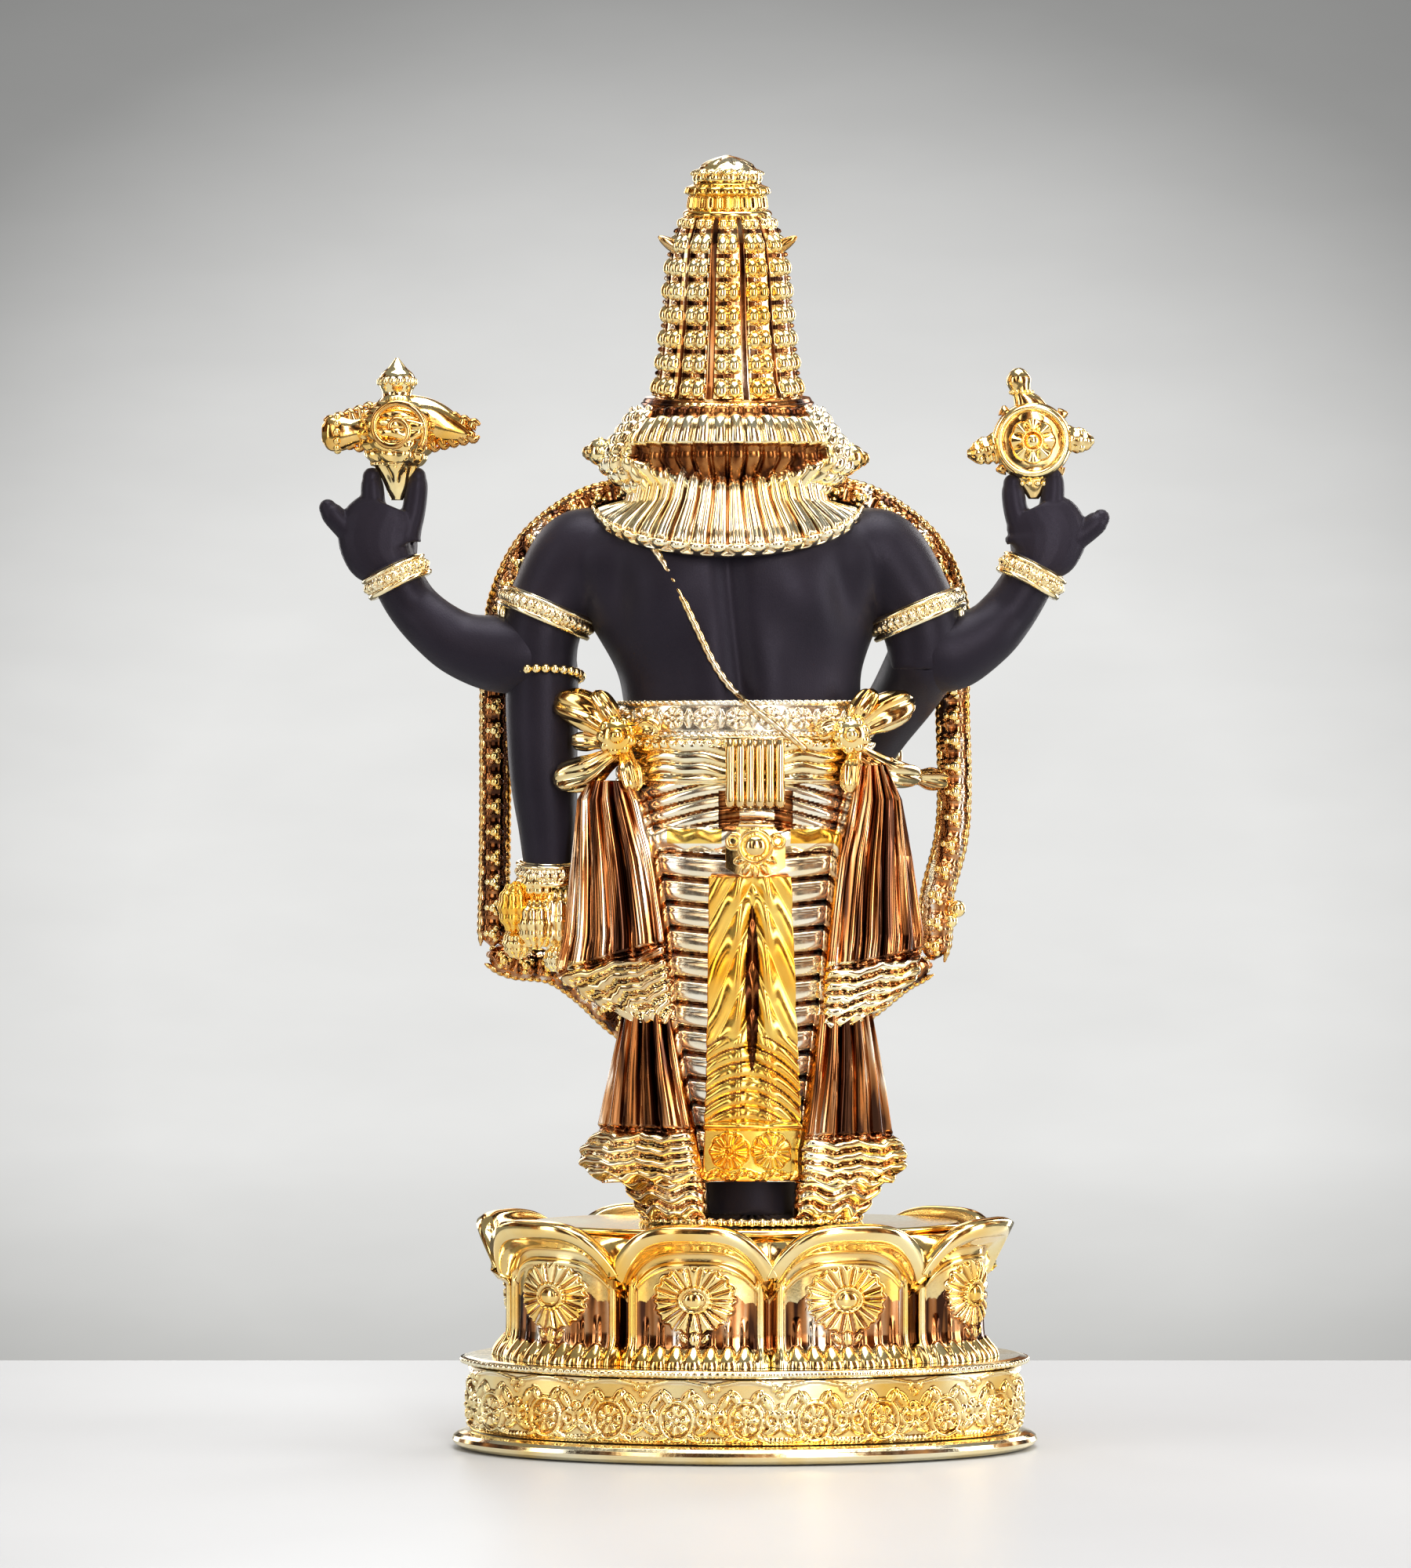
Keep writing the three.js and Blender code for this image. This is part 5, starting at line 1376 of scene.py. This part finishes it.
LEFT_SASH = [[99.5, 15.6, 17.6, 25, 15, 3.0], [103, 15.8, 17.6, 34, 12, 3.6],
             [109.4, 16.2, 17.8, 43.5, 7.5, 4], [119, 17.2, 18, 41, 6.6, 4.2],
             [137, 20.0, 17.8, 38.8, 6, 4.4], [150, 23.4, 16.6, 37.4, 7, 4], [154.4, 25.4, 15.8, 35, 9, 3]]
RIGHT_SASH = [[98.6, -16.6, 17.6, -24, 15, 3.0], [102, -17, 17.6, -31, 12.4, 3.6],
              [109.4, -17.2, 17.8, -39.6, 7.6, 4], [119, -18.2, 18, -40, 5.2, 4.2],
              [137, -20.2, 17.8, -37, 5.6, 4.4], [150, -23, 16.8, -34.6, 7.8, 4],
              [158, -24.8, 16, -31, 11.6, 2.8]]
LEFT_LOWER = [[62.6, 9.4, 17.6, 34, 9, 3.4], [66, 9.8, 17.8, 38, 7.4, 4], [70, 10.6, 18, 37.6, 6.4, 4.2],
              [74, 11.2, 18, 33.4, 7.2, 4.2], [86, 13.4, 18, 30.6, 9, 4], [101, 16.2, 17.6, 27.4, 12, 3.2]]
RIGHT_LOWER = [[62.6, -12.4, 17.6, -33.4, 9, 3.4], [66, -12, 17.8, -37, 7.4, 4],
               [70, -12, 18, -36.6, 6.4, 4.2], [74, -13, 18, -32.8, 7.2, 4.2],
               [86, -14.4, 18, -31, 9, 4], [101, -16.2, 17.6, -28.4, 12, 3.2]]
LEFT_HEM = [[54.0, 8.6, 15, 23.4, 6, 3.6], [57, 8.7, 15.4, 25, 5.6, 4], [62.6, 8.8, 16, 28.4, 5.6, 4.4]]
RIGHT_HEM = [[54.0, -11.2, 15, -26, 6, 3.6], [57, -11.2, 15.4, -28.6, 5.6, 4],
             [62.6, -11.6, 16, -32.4, 6.4, 4.4]]


def hem_tiers(s, foot):
    """Stacked wavy hem folds round the ankles."""
    wave = foot + 0.8 * np.sin(TAU * s / 9.0)
    return 2.1 * np.abs(np.sin(math.pi * wave / 3.2)) ** 0.6 + 0.1


for node, rows, edge, slope, flutes, border in (
        ("left_sash", LEFT_SASH, 116.9, -7.4, 5, gold_hem),
        ("right_sash", RIGHT_SASH, 111, 4, 5, gold_hem),
        ("left_lower_sash", LEFT_LOWER, 74.2, 0, 5, gold_hem),
        ("right_lower_sash", RIGHT_LOWER, 72.6, 0, 5, gold_hem),
        ("left_hem_fold", LEFT_HEM, 70.0, 0, 4, hem_tiers),
        ("right_hem_fold", RIGHT_HEM, 70.0, 0, 4, hem_tiers)):
    gilded(node, drape(rows, edge, slope, flutes, border), SHADE_REFLECTION_GOLD, PALE)


def ribbon_loop(patches, start, middle, end, width):
    """Soft bow lobe swelling from a knot to a folded tip."""
    start, middle, end = np.array([start, middle, end])
    rows = [[*start, 1.6], [*(start + (middle - start) * 0.5), width * 0.62], [*middle, width * 0.9],
            [*(middle + (end - middle) * 0.7), width * 0.8], [*end, width * 0.3]]

    def crease(along, turn):
        return 1 + 0.16 * np.cos(5 * turn + 0.12 * along) + 0.05 * np.cos(11 * turn)

    fine = smooth_rows(rows, max(30, int(60 * FINE)))
    patches.tube(fine[:, :3], np.maximum(fine[:, 3], 0.1), max(40, int(72 * FINE)), shape=crease)


def knot(patches, at, radius):
    """Round knot ringed by small gathers, with a boss behind."""
    at = np.array(at)
    for k in range(9):
        turn = TAU * k / 9
        gather = np.array([radius * 0.75 * math.cos(turn), 1.2, radius * 0.75 * math.sin(turn)])
        patches.ball(at + gather, radius * 0.34, sides=12)
    patches.ball(at, radius, (1, 0.85, 1), 40)
    patches.ball(at + [0, radius * 0.75, 0], radius * 0.42, sides=18)


# each bow: its knot, then loops from start through middle to end with a width
BOWS = {
    "left_bow": ((29.4, 14.2, 164.6), 4.4, (
        ((28, 12.6, 164), (36, 10.5, 170.0), (43.4, 6.5, 173), 4.4),
        ((28, 13.6, 165), (31.6, 13.6, 170.4), (34.6, 11.6, 174.6), 2.8),
        ((28, 12.6, 161.6), (36.4, 11, 156.2), (43.8, 8.4, 154.2), 4.0),
        ((31, 12.6, 163), (36.4, 9.0, 163.4), (40.0, 7.2, 163.6), 2.2),
        ((28, 13.0, 162), (26.6, 15.4, 156.4), (25.6, 16.4, 151.6), 2.8),
        ((26, 14.0, 166), (22.4, 17.6, 166.6), (19.6, 19.2, 165.4), 2.3))),
    "right_bow": ((-24.2, 15.8, 164.8), 4.2, (
        ((-24, 14, 165), (-31.6, 11.4, 169.8), (-38.4, 7.8, 173), 4.3),
        ((-24, 15, 166), (-26.6, 14.8, 170.8), (-29.6, 12.8, 175), 2.8),
        ((-24, 14.4, 162), (-33.0, 10.0, 156.6), (-40.4, 0.6, 155.0), 3.2),
        ((-38, 2.6, 155.4), (-43.4, -5.0, 154.8), (-47.0, -9.6, 154.4), 2.6),
        ((-25, 14.6, 162), (-24.4, 16.6, 157), (-24.0, 17.6, 151.6), 2.6),
        ((-22, 15.6, 166), (-19.0, 18.6, 166.4), (-16.4, 19.8, 165), 2.2))),
}
for node, (at, radius, loops) in BOWS.items():
    bow = Patches()
    knot(bow, at, radius)
    for loop in loops:
        ribbon_loop(bow, *loop)
    gilded(node, bow, GOLD)

# ------------------------------------------------------------------ garlands

def garland(path, radius, rib, flat):
    """Thick garland: puffed petal rings along a path, edge cords and flower heads on both faces."""
    fine = smooth_rows([[*q, radius] for q in path], 900)
    length = np.concatenate([[0], np.cumsum(np.linalg.norm(np.diff(fine[:, :3], axis=0), axis=1))])
    rings = max(3, round(length[-1] / rib))
    pitch = length[-1] / rings
    count = steps(length[-1], 0.3)
    at = np.linspace(0, length[-1], count)
    q = np.stack([np.interp(at, length, fine[:, k]) for k in range(3)], -1)
    sides = max(32, int(64 * FINE))

    def petals(along, turn):
        puff = np.abs(np.sin(math.pi * along / pitch)) ** 0.5
        ribs = 0.03 * np.cos(TAU * along / (pitch / 5))
        return 0.74 + 0.20 * puff + ribs + 0.04 * np.cos(6 * turn)

    ease = np.clip(np.minimum(at, length[-1] - at) / radius, 0.05, 1) ** 0.5
    radii = np.stack([radius * ease, radius * flat * ease], -1)
    # painted shade and painted reflection: the garland's body takes the dark gold (tone 3)
    patches = Patches().tube(q, radii, sides, (0, 1, 0.001), petals, tone=3)
    tangent = unit(np.gradient(q, axis=0))
    side = unit(np.cross(tangent, [0, 1, 0.001]))
    for way in (-1, 1):
        patches.tube(q + side * way * radius * 0.80, 0.95 * ease, 14,
                     shape=lambda along, turn: 0.8 + 0.3 * np.abs(np.sin(math.pi * along / 1.9)))
    for k in range(rings):
        i = min(count - 1, int((k + 0.5) / rings * (count - 1)))
        deep = np.cross(side[i], tangent[i])
        for way in (-1, 1):
            top = q[i] + deep * way * radius * flat * 0.86
            patches.ball(top, radius * 0.36, (1, 1, 1), 14)
            for n in range(6):
                turn = TAU * n / 6
                petal = top + (side[i] * math.cos(turn) + tangent[i] * math.sin(turn)) * radius * 0.40
                # painted shade: every other petal takes the dark gold
                patches.ball(petal, radius * 0.22, sides=10, tone=3 if n % 2 else 0)
    return patches


def ribbed_pod(patches, at, radius, lobes, stretch, tone=0):
    """Plump ribbed bud hanging in the garland."""
    lat = np.linspace(0, math.pi, steps(radius * 3, 0.3))[:, None]
    lon = np.linspace(0, TAU, steps(radius * 6, 0.3), endpoint=False)[None, :]
    r = radius * (0.86 + 0.14 * np.abs(np.cos(lobes * lon / 2)) ** 0.6) * (1 + 0.04 * np.cos(lat * 12))
    p = np.stack([r * np.sin(lat) * np.cos(lon), r * np.sin(lat) * np.sin(lon),
                  r * np.cos(lat) * stretch], -1) + np.array(at)
    patches.grid(p, wrap_v=True, tone=tone)


strand = garland(
    [[26, -6.5, 222], [38, -4.6, 218.4], [49.6, -4.4, 209.4], [56, -7.4, 197], [57.9, -12, 184],
     [58.4, -13, 172], [58.4, -13, 152], [58.6, -13, 132], [59.0, -13, 115.6]], 3.5, 6.0, 0.75)
for at, radius, lobes, stretch, tone in (
        ((42.6, 1.0, 122.0), 5.6, 12, 1.45, 1), ((47.6, 1.8, 130.6), 4.3, 8, 1.0, 0),
        ((53.2, 0.6, 125.0), 4.0, 9, 1.5, 2), ((48.0, 3.0, 121.4), 4.6, 10, 1.3, 0),
        ((43.0, 3.0, 113.2), 3.6, 10, 0.9, 1), ((52.6, -1.5, 116.6), 3.6, 8, 1.0, 0)):
    ribbed_pod(strand, at, radius, lobes, stretch, tone)
for n in range(9):
    strand.ball((39.5 + 1.9 * n, 2.4 - 0.5 * n, 130.6 - 0.5 * abs(n - 4)), 1.15, sides=12, tone=1)
GARLAND_TONES = GOLD, PALE, AMBER, SHADE_REFLECTION_GOLD
gilded("garland_left", strand, *GARLAND_TONES)
strand = garland(
    [[-18.6, -6.5, 222], [-30, -4.6, 218.6], [-42, -4.4, 209.4], [-48, -7.4, 197], [-48.9, -12, 184],
     [-48.8, -13, 172], [-49.2, -12, 154], [-48.4, -11, 141], [-45.0, -11, 127], [-44.8, -12, 118],
     [-43.8, -12, 112.4]], 3.9, 6.2, 0.7)
strand.ball((-49.8, -10.5, 124.4), 2.0, sides=20)
strand.ball((-48.2, -10.6, 121.6), 1.7, sides=20)
gilded("garland_right", strand, *GARLAND_TONES)
strand = garland(
    [[59.6, -13.6, 114.2], [54, -16.6, 111.6], [45, -20.4, 110.2], [37.6, -23.4, 105.2], [28, -26, 96.6],
     [14, -29, 89.6], [0, -30, 87.6], [-14, -28.4, 91.4], [-28, -24, 101], [-37, -18.4, 108.4],
     [-43, -13.6, 111.6]], 3.8, 6.0, 0.8)
gilded("garland_front", strand, *GARLAND_TONES)

# ------------------------------------------------------------------ conch and discus

CONCH_X = 80.6
conch_rows = [[219.4, 1.3], [221.6, 2.4], [225, 3.6], [227.6, 5.2], [230, 6.8], [232.6, 8.0], [235, 8.7],
              [237.4, 8.6], [239.6, 7.6], [241.4, 5.6], [242.8, 4.0], [243.8, 3.3], [244.8, 3.6],
              [246, 4.3], [247.6, 4.3], [249, 3.6], [250, 2.2], [251, 1.5], [252.4, 0.3]]


def conch_relief(turn, z, radius):
    """Spiral whorls, a lip down one side and beading round the knob."""
    spiral = 0.7 * np.abs(np.sin((z - 236 + 2.2 * turn / TAU) * math.pi / 2.6)) ** 0.6 * (radius > 5)
    ribs = 0.35 * np.cos(9 * turn + (z - 226) * 0.5) * between(z, 222, 226, 236, 239)
    lip = 1.6 * bell(wrap(turn - 1.9 - (z - 230) * 0.05, TAU), 0.22) * between(z, 222, 227, 236, 239)
    knob = beads(turn * 4.3, z, TAU * 4.3 / 14, 246.8, 0.9, 0.5)
    return spiral + ribs + lip + knob


conch = Patches().grid(round_form(conch_rows, conch_relief, 190, 230, 0.95, CONCH_X), wrap_u=True)


def flame_prong(patches, start, end, radius, wave=0.2):
    """Ridged flame arm reaching out from an attribute."""
    start, end = np.array(start, float), np.array(end, float)
    rows = [[*(start + (end - start) * u + [0, 0, wave * math.sin(u * 6)]), radius * k, radius * k * 0.75]
            for u, k in ((0, 1.15), (0.3, 0.95), (0.55, 0.85), (0.8, 0.62), (1.0, 0.22))]
    fine = smooth_rows(rows, max(30, int(60 * FINE)))

    def ridged(along, turn):
        return 1 + 0.12 * np.cos(4 * turn) + 0.08 * np.cos(TAU * along / 2.2)

    patches.tube(fine[:, :3], np.maximum(fine[:, 3:5], 0.1), 36, shape=ridged)
    for way in (1, -1):
        patches.ball(start + (end - start) * 0.62 + [0, 0, way * radius * 0.55], radius * 0.42, sides=12)


conch.limb([[82, 0, 235.6, 5.6, 4.2], [87, 0, 236.0, 3.6, 3], [90.4, 0, 235.4, 3.3, 2.8],
            [93.6, 0, 235.0, 4.2, 3.2], [96.4, 0, 235.0, 4.0, 2.8], [98, 0, 235, 2.0, 1.4]], 32, 0.3)
for n in range(12):
    turn = TAU * n / 12
    conch.ball((94.4, 3.0 * math.sin(turn), 235 + 4.0 * math.cos(turn)), 0.95, sides=12)
conch.limb([[80, 0, 238, 6.5, 4.4], [74, 0, 238.2, 5.0, 3.6], [69, 0, 236.4, 3.9, 2.9],
            [65, 0, 235.0, 2.3, 1.8], [62.4, 0, 234.3, 0.5, 0.5]], 32, 0.3)
for side, reach in ((1, 5), (-1, 6)):
    for k in range(reach):
        at = CONCH_X + side * (5.4 + 2.3 * k)
        conch.limb([[at, 0.4, 238.4 - 0.45 * k, 1.5], [at + side * 0.9, 0.4, 241.2 - 0.75 * k, 1.1],
                    [at + side * 2.4, 0.4, 241.4 - 0.9 * k, 0.35]], 14, 0.3)
        conch.limb([[at, 0.4, 233.0 + 0.3 * k, 1.4], [at + side * 0.9, 0.4, 230.8 + 0.5 * k, 0.9],
                    [at + side * 2.2, 0.4, 230.8 + 0.7 * k, 0.35]], 14, 0.3)
whorl = np.linspace(0, 1.6 * TAU, 60)
reach = 1.0 + 0.62 * whorl
coil = np.stack([CONCH_X + reach * np.cos(whorl), 8.4 - 0.075 * whorl, 235.4 + reach * np.sin(whorl),
                 np.full(60, 0.85)], -1)
conch.limb(coil, 14, 0.3)
gilded("conch", conch, GOLD)

DISCUS = np.array([-66.6, 0, 233.0])


def disc_face(radius, thick):
    """Ringed disc with radial petals on both faces."""
    turn = np.linspace(0, TAU, steps(110, 0.3), endpoint=False)[:, None]
    reach = np.linspace(0, 1, steps(34, 0.3))[None, :] * radius
    relief = rosette(reach * np.cos(turn), reach * np.sin(turn), 5.4, 8, 1.3, 0.4)
    relief = relief - 0.9 * smoothstep(reach, 5.6, 6.4)
    relief = np.maximum(relief, ridge(reach, 7.9, 1.15, 2.2) + 0 * turn)
    depth = thick * root(1 - (reach / (radius + 0.6)) ** 2) * 0.85 + relief
    sides = [np.stack([DISCUS[0] + reach * np.cos(turn), DISCUS[1] + sign * depth,
                       DISCUS[2] + reach * np.sin(turn) + 0 * depth], -1) for sign in (1, -1)]
    return Patches().grid(np.concatenate([sides[0], sides[1][:, ::-1]], 1), wrap_u=True)


discus = disc_face(9.2, 3.0)
discus.limb([[-66.5, 0, 237, 6.4, 2.4], [-65.6, 0, 241.2, 4.0, 2.2], [-64.4, 0, 243.6, 2.2, 2.0],
             [-63.9, 0, 245.2, 2.4, 2.2], [-63.5, 0, 247.4, 2.9, 2.6], [-63.3, 0, 249.2, 1.9, 1.8],
             [-63.2, 0, 250.0, 0.8, 0.8]], 36, 0.3)
for n in range(12):
    turn = TAU * n / 12
    discus.ball((-64.2 + 2.4 * math.cos(turn), 2.2 * math.sin(turn), 244.4), 0.6, sides=10)
flame_prong(discus, (-60, 0, 231.6), (-51.6, 0, 230.2), 3.2)
flame_prong(discus, (-73, 0, 233.2), (-81, 0, 233.4), 3.0)
for corner in range(4):
    turn = math.radians(45 + 90 * corner)
    base = DISCUS + 8.8 * np.array([math.cos(turn), 0, math.sin(turn)])
    tip = DISCUS + 10.6 * np.array([math.cos(turn + 0.12), 0, math.sin(turn + 0.12)])
    discus.limb([[*base, 1.6], [*((base + tip) / 2), 1.2], [*tip, 0.4]], 14, 0.3)
discus.limb([[-66.6, 0, 227, 5.2, 2.2], [-66.8, 0, 224.6, 4.2, 2], [-67, 0, 221.8, 2.6, 1.6],
             [-67, 0, 219.7, 1.2, 1.0]], 30, 0.4)
for z in (225.6, 223.2):
    reach = 4.0 * (z - 216) / 9.4
    for n in range(10):
        turn = TAU * n / 10
        discus.ball((-66.8 + reach * math.cos(turn), 1.9 * math.sin(turn), z), 0.8, sides=10)
gilded("discus", discus, GOLD)

# ------------------------------------------------------------------ hidden hardware

def shaft(node, thread_pitch=1.25, head=None, sides=40):
    """Threaded steel shaft filling its node's box; `head` is the height of a plain head at the foot, as wide
    as the box.
    """
    low, high = span(node)
    mid = (low + high) / 2
    core = min(high[0] - low[0], high[1] - low[1]) / 2
    radius = core if head is None else core * 0.55
    z = np.linspace(low[2], high[2], steps(high[2] - low[2], 0.3))[None, :]
    turn = np.linspace(0, TAU, sides, endpoint=False)[:, None]
    r = radius - 0.25 + 0.25 * np.cos(TAU * z / thread_pitch - turn)
    if head is not None:
        r = np.where(z < low[2] + head, core, r)
    p = np.stack([mid[0] + r * np.cos(turn), mid[1] + r * np.sin(turn), z + 0 * r], -1)
    return piece(node, Patches().grid(close_ends(p), wrap_u=True), "steel", STEEL)


shaft("centre_rod")
shaft("rod_nut", 40, None, 6)
for node in ("waist_dowel", "neck_dowel"):
    shaft(node, 200)
for node in ("base_screw_left", "base_screw_right"):
    shaft(node, 1.6, 2.2)


# ------------------------------------------------------------------ studio

def world_light():
    """Grey studio surround: a painted pool of light behind the statue fades to mid grey, and the backdrop is
    darker towards the bottom.
    """
    world = bpy.data.worlds.new("studio")
    bpy.context.scene.world = world
    world.use_nodes = True
    nodes, links = world.node_tree.nodes, world.node_tree.links
    where = nodes.new("ShaderNodeTexCoord")
    away = nodes.new("ShaderNodeVectorMath")
    away.operation = "LENGTH"
    squash = nodes.new("ShaderNodeMapping")
    squash.inputs["Location"].default_value = (0, 1, 0.035)
    squash.inputs["Scale"].default_value = (0.8, 1, 0.9)
    links.new(where.outputs["Generated"], squash.inputs["Vector"])
    links.new(squash.outputs["Vector"], away.inputs[0])
    # painted pool of light: the backdrop is palest behind the statue and greyer outwards
    greys = ((0.0, 0.80), (0.09, 0.80), (0.116, 0.71), (0.130, 0.64), (0.142, 0.56), (0.151, 0.50),
             (0.162, 0.41), (0.178, 0.30), (0.205, 0.25), (1.0, 0.24))
    glow = ramp(nodes, links, away.outputs["Value"], [(at, (g, g, 0.985 * g)) for at, g in greys])
    split = nodes.new("ShaderNodeSeparateXYZ")
    links.new(where.outputs["Generated"], split.inputs[0])
    level = nodes.new("ShaderNodeMapRange")
    level.inputs["From Min"].default_value = -0.112
    level.inputs["From Max"].default_value = -0.070
    links.new(split.outputs["Z"], level.inputs["Value"])
    # the backdrop is darker towards the bottom
    bottom_band = ramp(nodes, links, level.outputs["Result"], [(0.0, (0.72, 0.72, 0.71)), (1.0, (1, 1, 1))])
    shade = multiply(nodes, links, glow, bottom_band)
    plaster = noise(nodes, links, 70, 5, (0.35, 1, 1), "Generated")
    grain = ramp(nodes, links, plaster, [(0.3, (0.975, 0.975, 0.975)), (0.7, (1.02, 1.02, 1.02))])
    shade = multiply(nodes, links, shade, grain)
    links.new(shade, nodes["Background"].inputs["Color"])
    nodes["Background"].inputs["Strength"].default_value = 1.0


FIGURE = Vector((0, 0, 0.15))


def softbox(name, at, size, power):
    """Rectangular light aimed at the figure; unseen itself, but reflected in the metal."""
    light = bpy.data.lights.new(name, "AREA")
    light.shape = "RECTANGLE"
    light.size, light.size_y = size
    light.energy = power
    obj = bpy.data.objects.new(name, light)
    obj.location = at
    obj.rotation_euler = (FIGURE - Vector(at)).to_track_quat("-Z", "Y").to_euler()
    obj.visible_camera = False
    bpy.context.scene.collection.objects.link(obj)


def surround(name, first, last, low, high, radius, stops, seed):
    """Arc of a dark, warm studio that shows only as reflections in the polished metal."""
    turn = np.radians(np.linspace(first, last, 40))
    ring = [(radius * math.cos(t), radius * math.sin(t)) for t in turn]
    points = [(x, y, z) for x, y in ring for z in (low, high)]
    faces = [(2 * i, 2 * i + 2, 2 * i + 3, 2 * i + 1) for i in range(len(ring) - 1)]
    mesh = bpy.data.meshes.new(name)
    mesh.from_pydata(points, [], faces)
    obj = bpy.data.objects.new(name, mesh)
    material, nodes, links, shader = new_material(name)
    stripes = noise(nodes, links, seed, 2, (1, 1, 0.18))
    shader.inputs["Base Color"].default_value = (0, 0, 0, 1)
    shader.inputs["Roughness"].default_value = 1.0
    links.new(ramp(nodes, links, stripes, stops), shader.inputs["Emission Color"])
    shader.inputs["Emission Strength"].default_value = 2.2
    material.cycles.emission_sampling = "NONE"
    mesh.materials.append(material)
    obj.visible_camera = False
    obj.visible_shadow = False
    obj.visible_diffuse = False
    bpy.context.scene.collection.objects.link(obj)


world_light()
softbox("key_strip", (-0.36, 1.25, 0.55), (0.20, 1.1), 11)
softbox("left_box", (1.35, 0.90, 0.50), (0.40, 1.3), 6)
softbox("right_box", (-1.35, 0.40, 0.35), (0.45, 1.3), 13)
softbox("top_box", (-0.1, 0.10, 1.55), (1.2, 1.0), 30)
softbox("front_left", (0.9, -1.2, 0.5), (0.4, 1.2), 6)
softbox("front_right", (-0.9, -1.1, 0.4), (0.35, 1.2), 8)
DARK_ROOM = [(0.42, (0.008, 0.004, 0.003)), (0.50, (0.07, 0.025, 0.010)), (0.555, (0.26, 0.12, 0.04)),
             (0.585, (1.0, 0.88, 0.68)), (0.66, (1.0, 1.0, 1.0))]
surround("rear_room", 20, 160, -0.5, 2.4, 2.5, DARK_ROOM, 1.55)
surround("front_room", 160, 380, 0.45, 2.4, 2.5, DARK_ROOM, 1.55)

TABLE_EDGE = -0.179
table = bpy.data.meshes.new("tabletop")
table_sides = [(-0.8, TABLE_EDGE), (0.8, TABLE_EDGE), (0.8, 0.45), (-0.8, 0.45)]
table.from_pydata([(x, y, z) for z in (-0.02, 0.0) for x, y in table_sides], [],
                  [(3, 2, 1, 0), (4, 5, 6, 7), (0, 1, 5, 4), (1, 2, 6, 5), (2, 3, 7, 6), (3, 0, 4, 7)])
tabletop = bpy.data.objects.new("tabletop", table)
bpy.context.scene.collection.objects.link(tabletop)
material, nodes, links, shader = new_material("tabletop")
cloud = noise(nodes, links, 6, 3)
links.new(ramp(nodes, links, cloud, [(0.3, (0.455, 0.458, 0.462)), (0.7, (0.49, 0.494, 0.498))]),
          shader.inputs["Base Color"])
shader.inputs["Roughness"].default_value = 0.42
shader.inputs["Specular IOR Level"].default_value = 0.14
table.materials.append(material)

VIEW_X, VIEW_Z, VIEW_AWAY = 0.00909, 0.1536, 1.2
camera_data = bpy.data.cameras.new("camera")
camera_data.sensor_fit = "VERTICAL"
camera_data.sensor_height = 36
camera_data.lens = 36 * VIEW_AWAY / 0.3636
camera = bpy.data.objects.new("camera", camera_data)
camera.location = (VIEW_X, VIEW_AWAY, VIEW_Z)
camera.rotation_euler = (math.radians(90), 0, math.radians(180))
bpy.context.scene.collection.objects.link(camera)
bpy.context.scene.camera = camera
bpy.context.scene.view_settings.view_transform = "Standard"
bpy.context.scene.view_settings.look = "None"
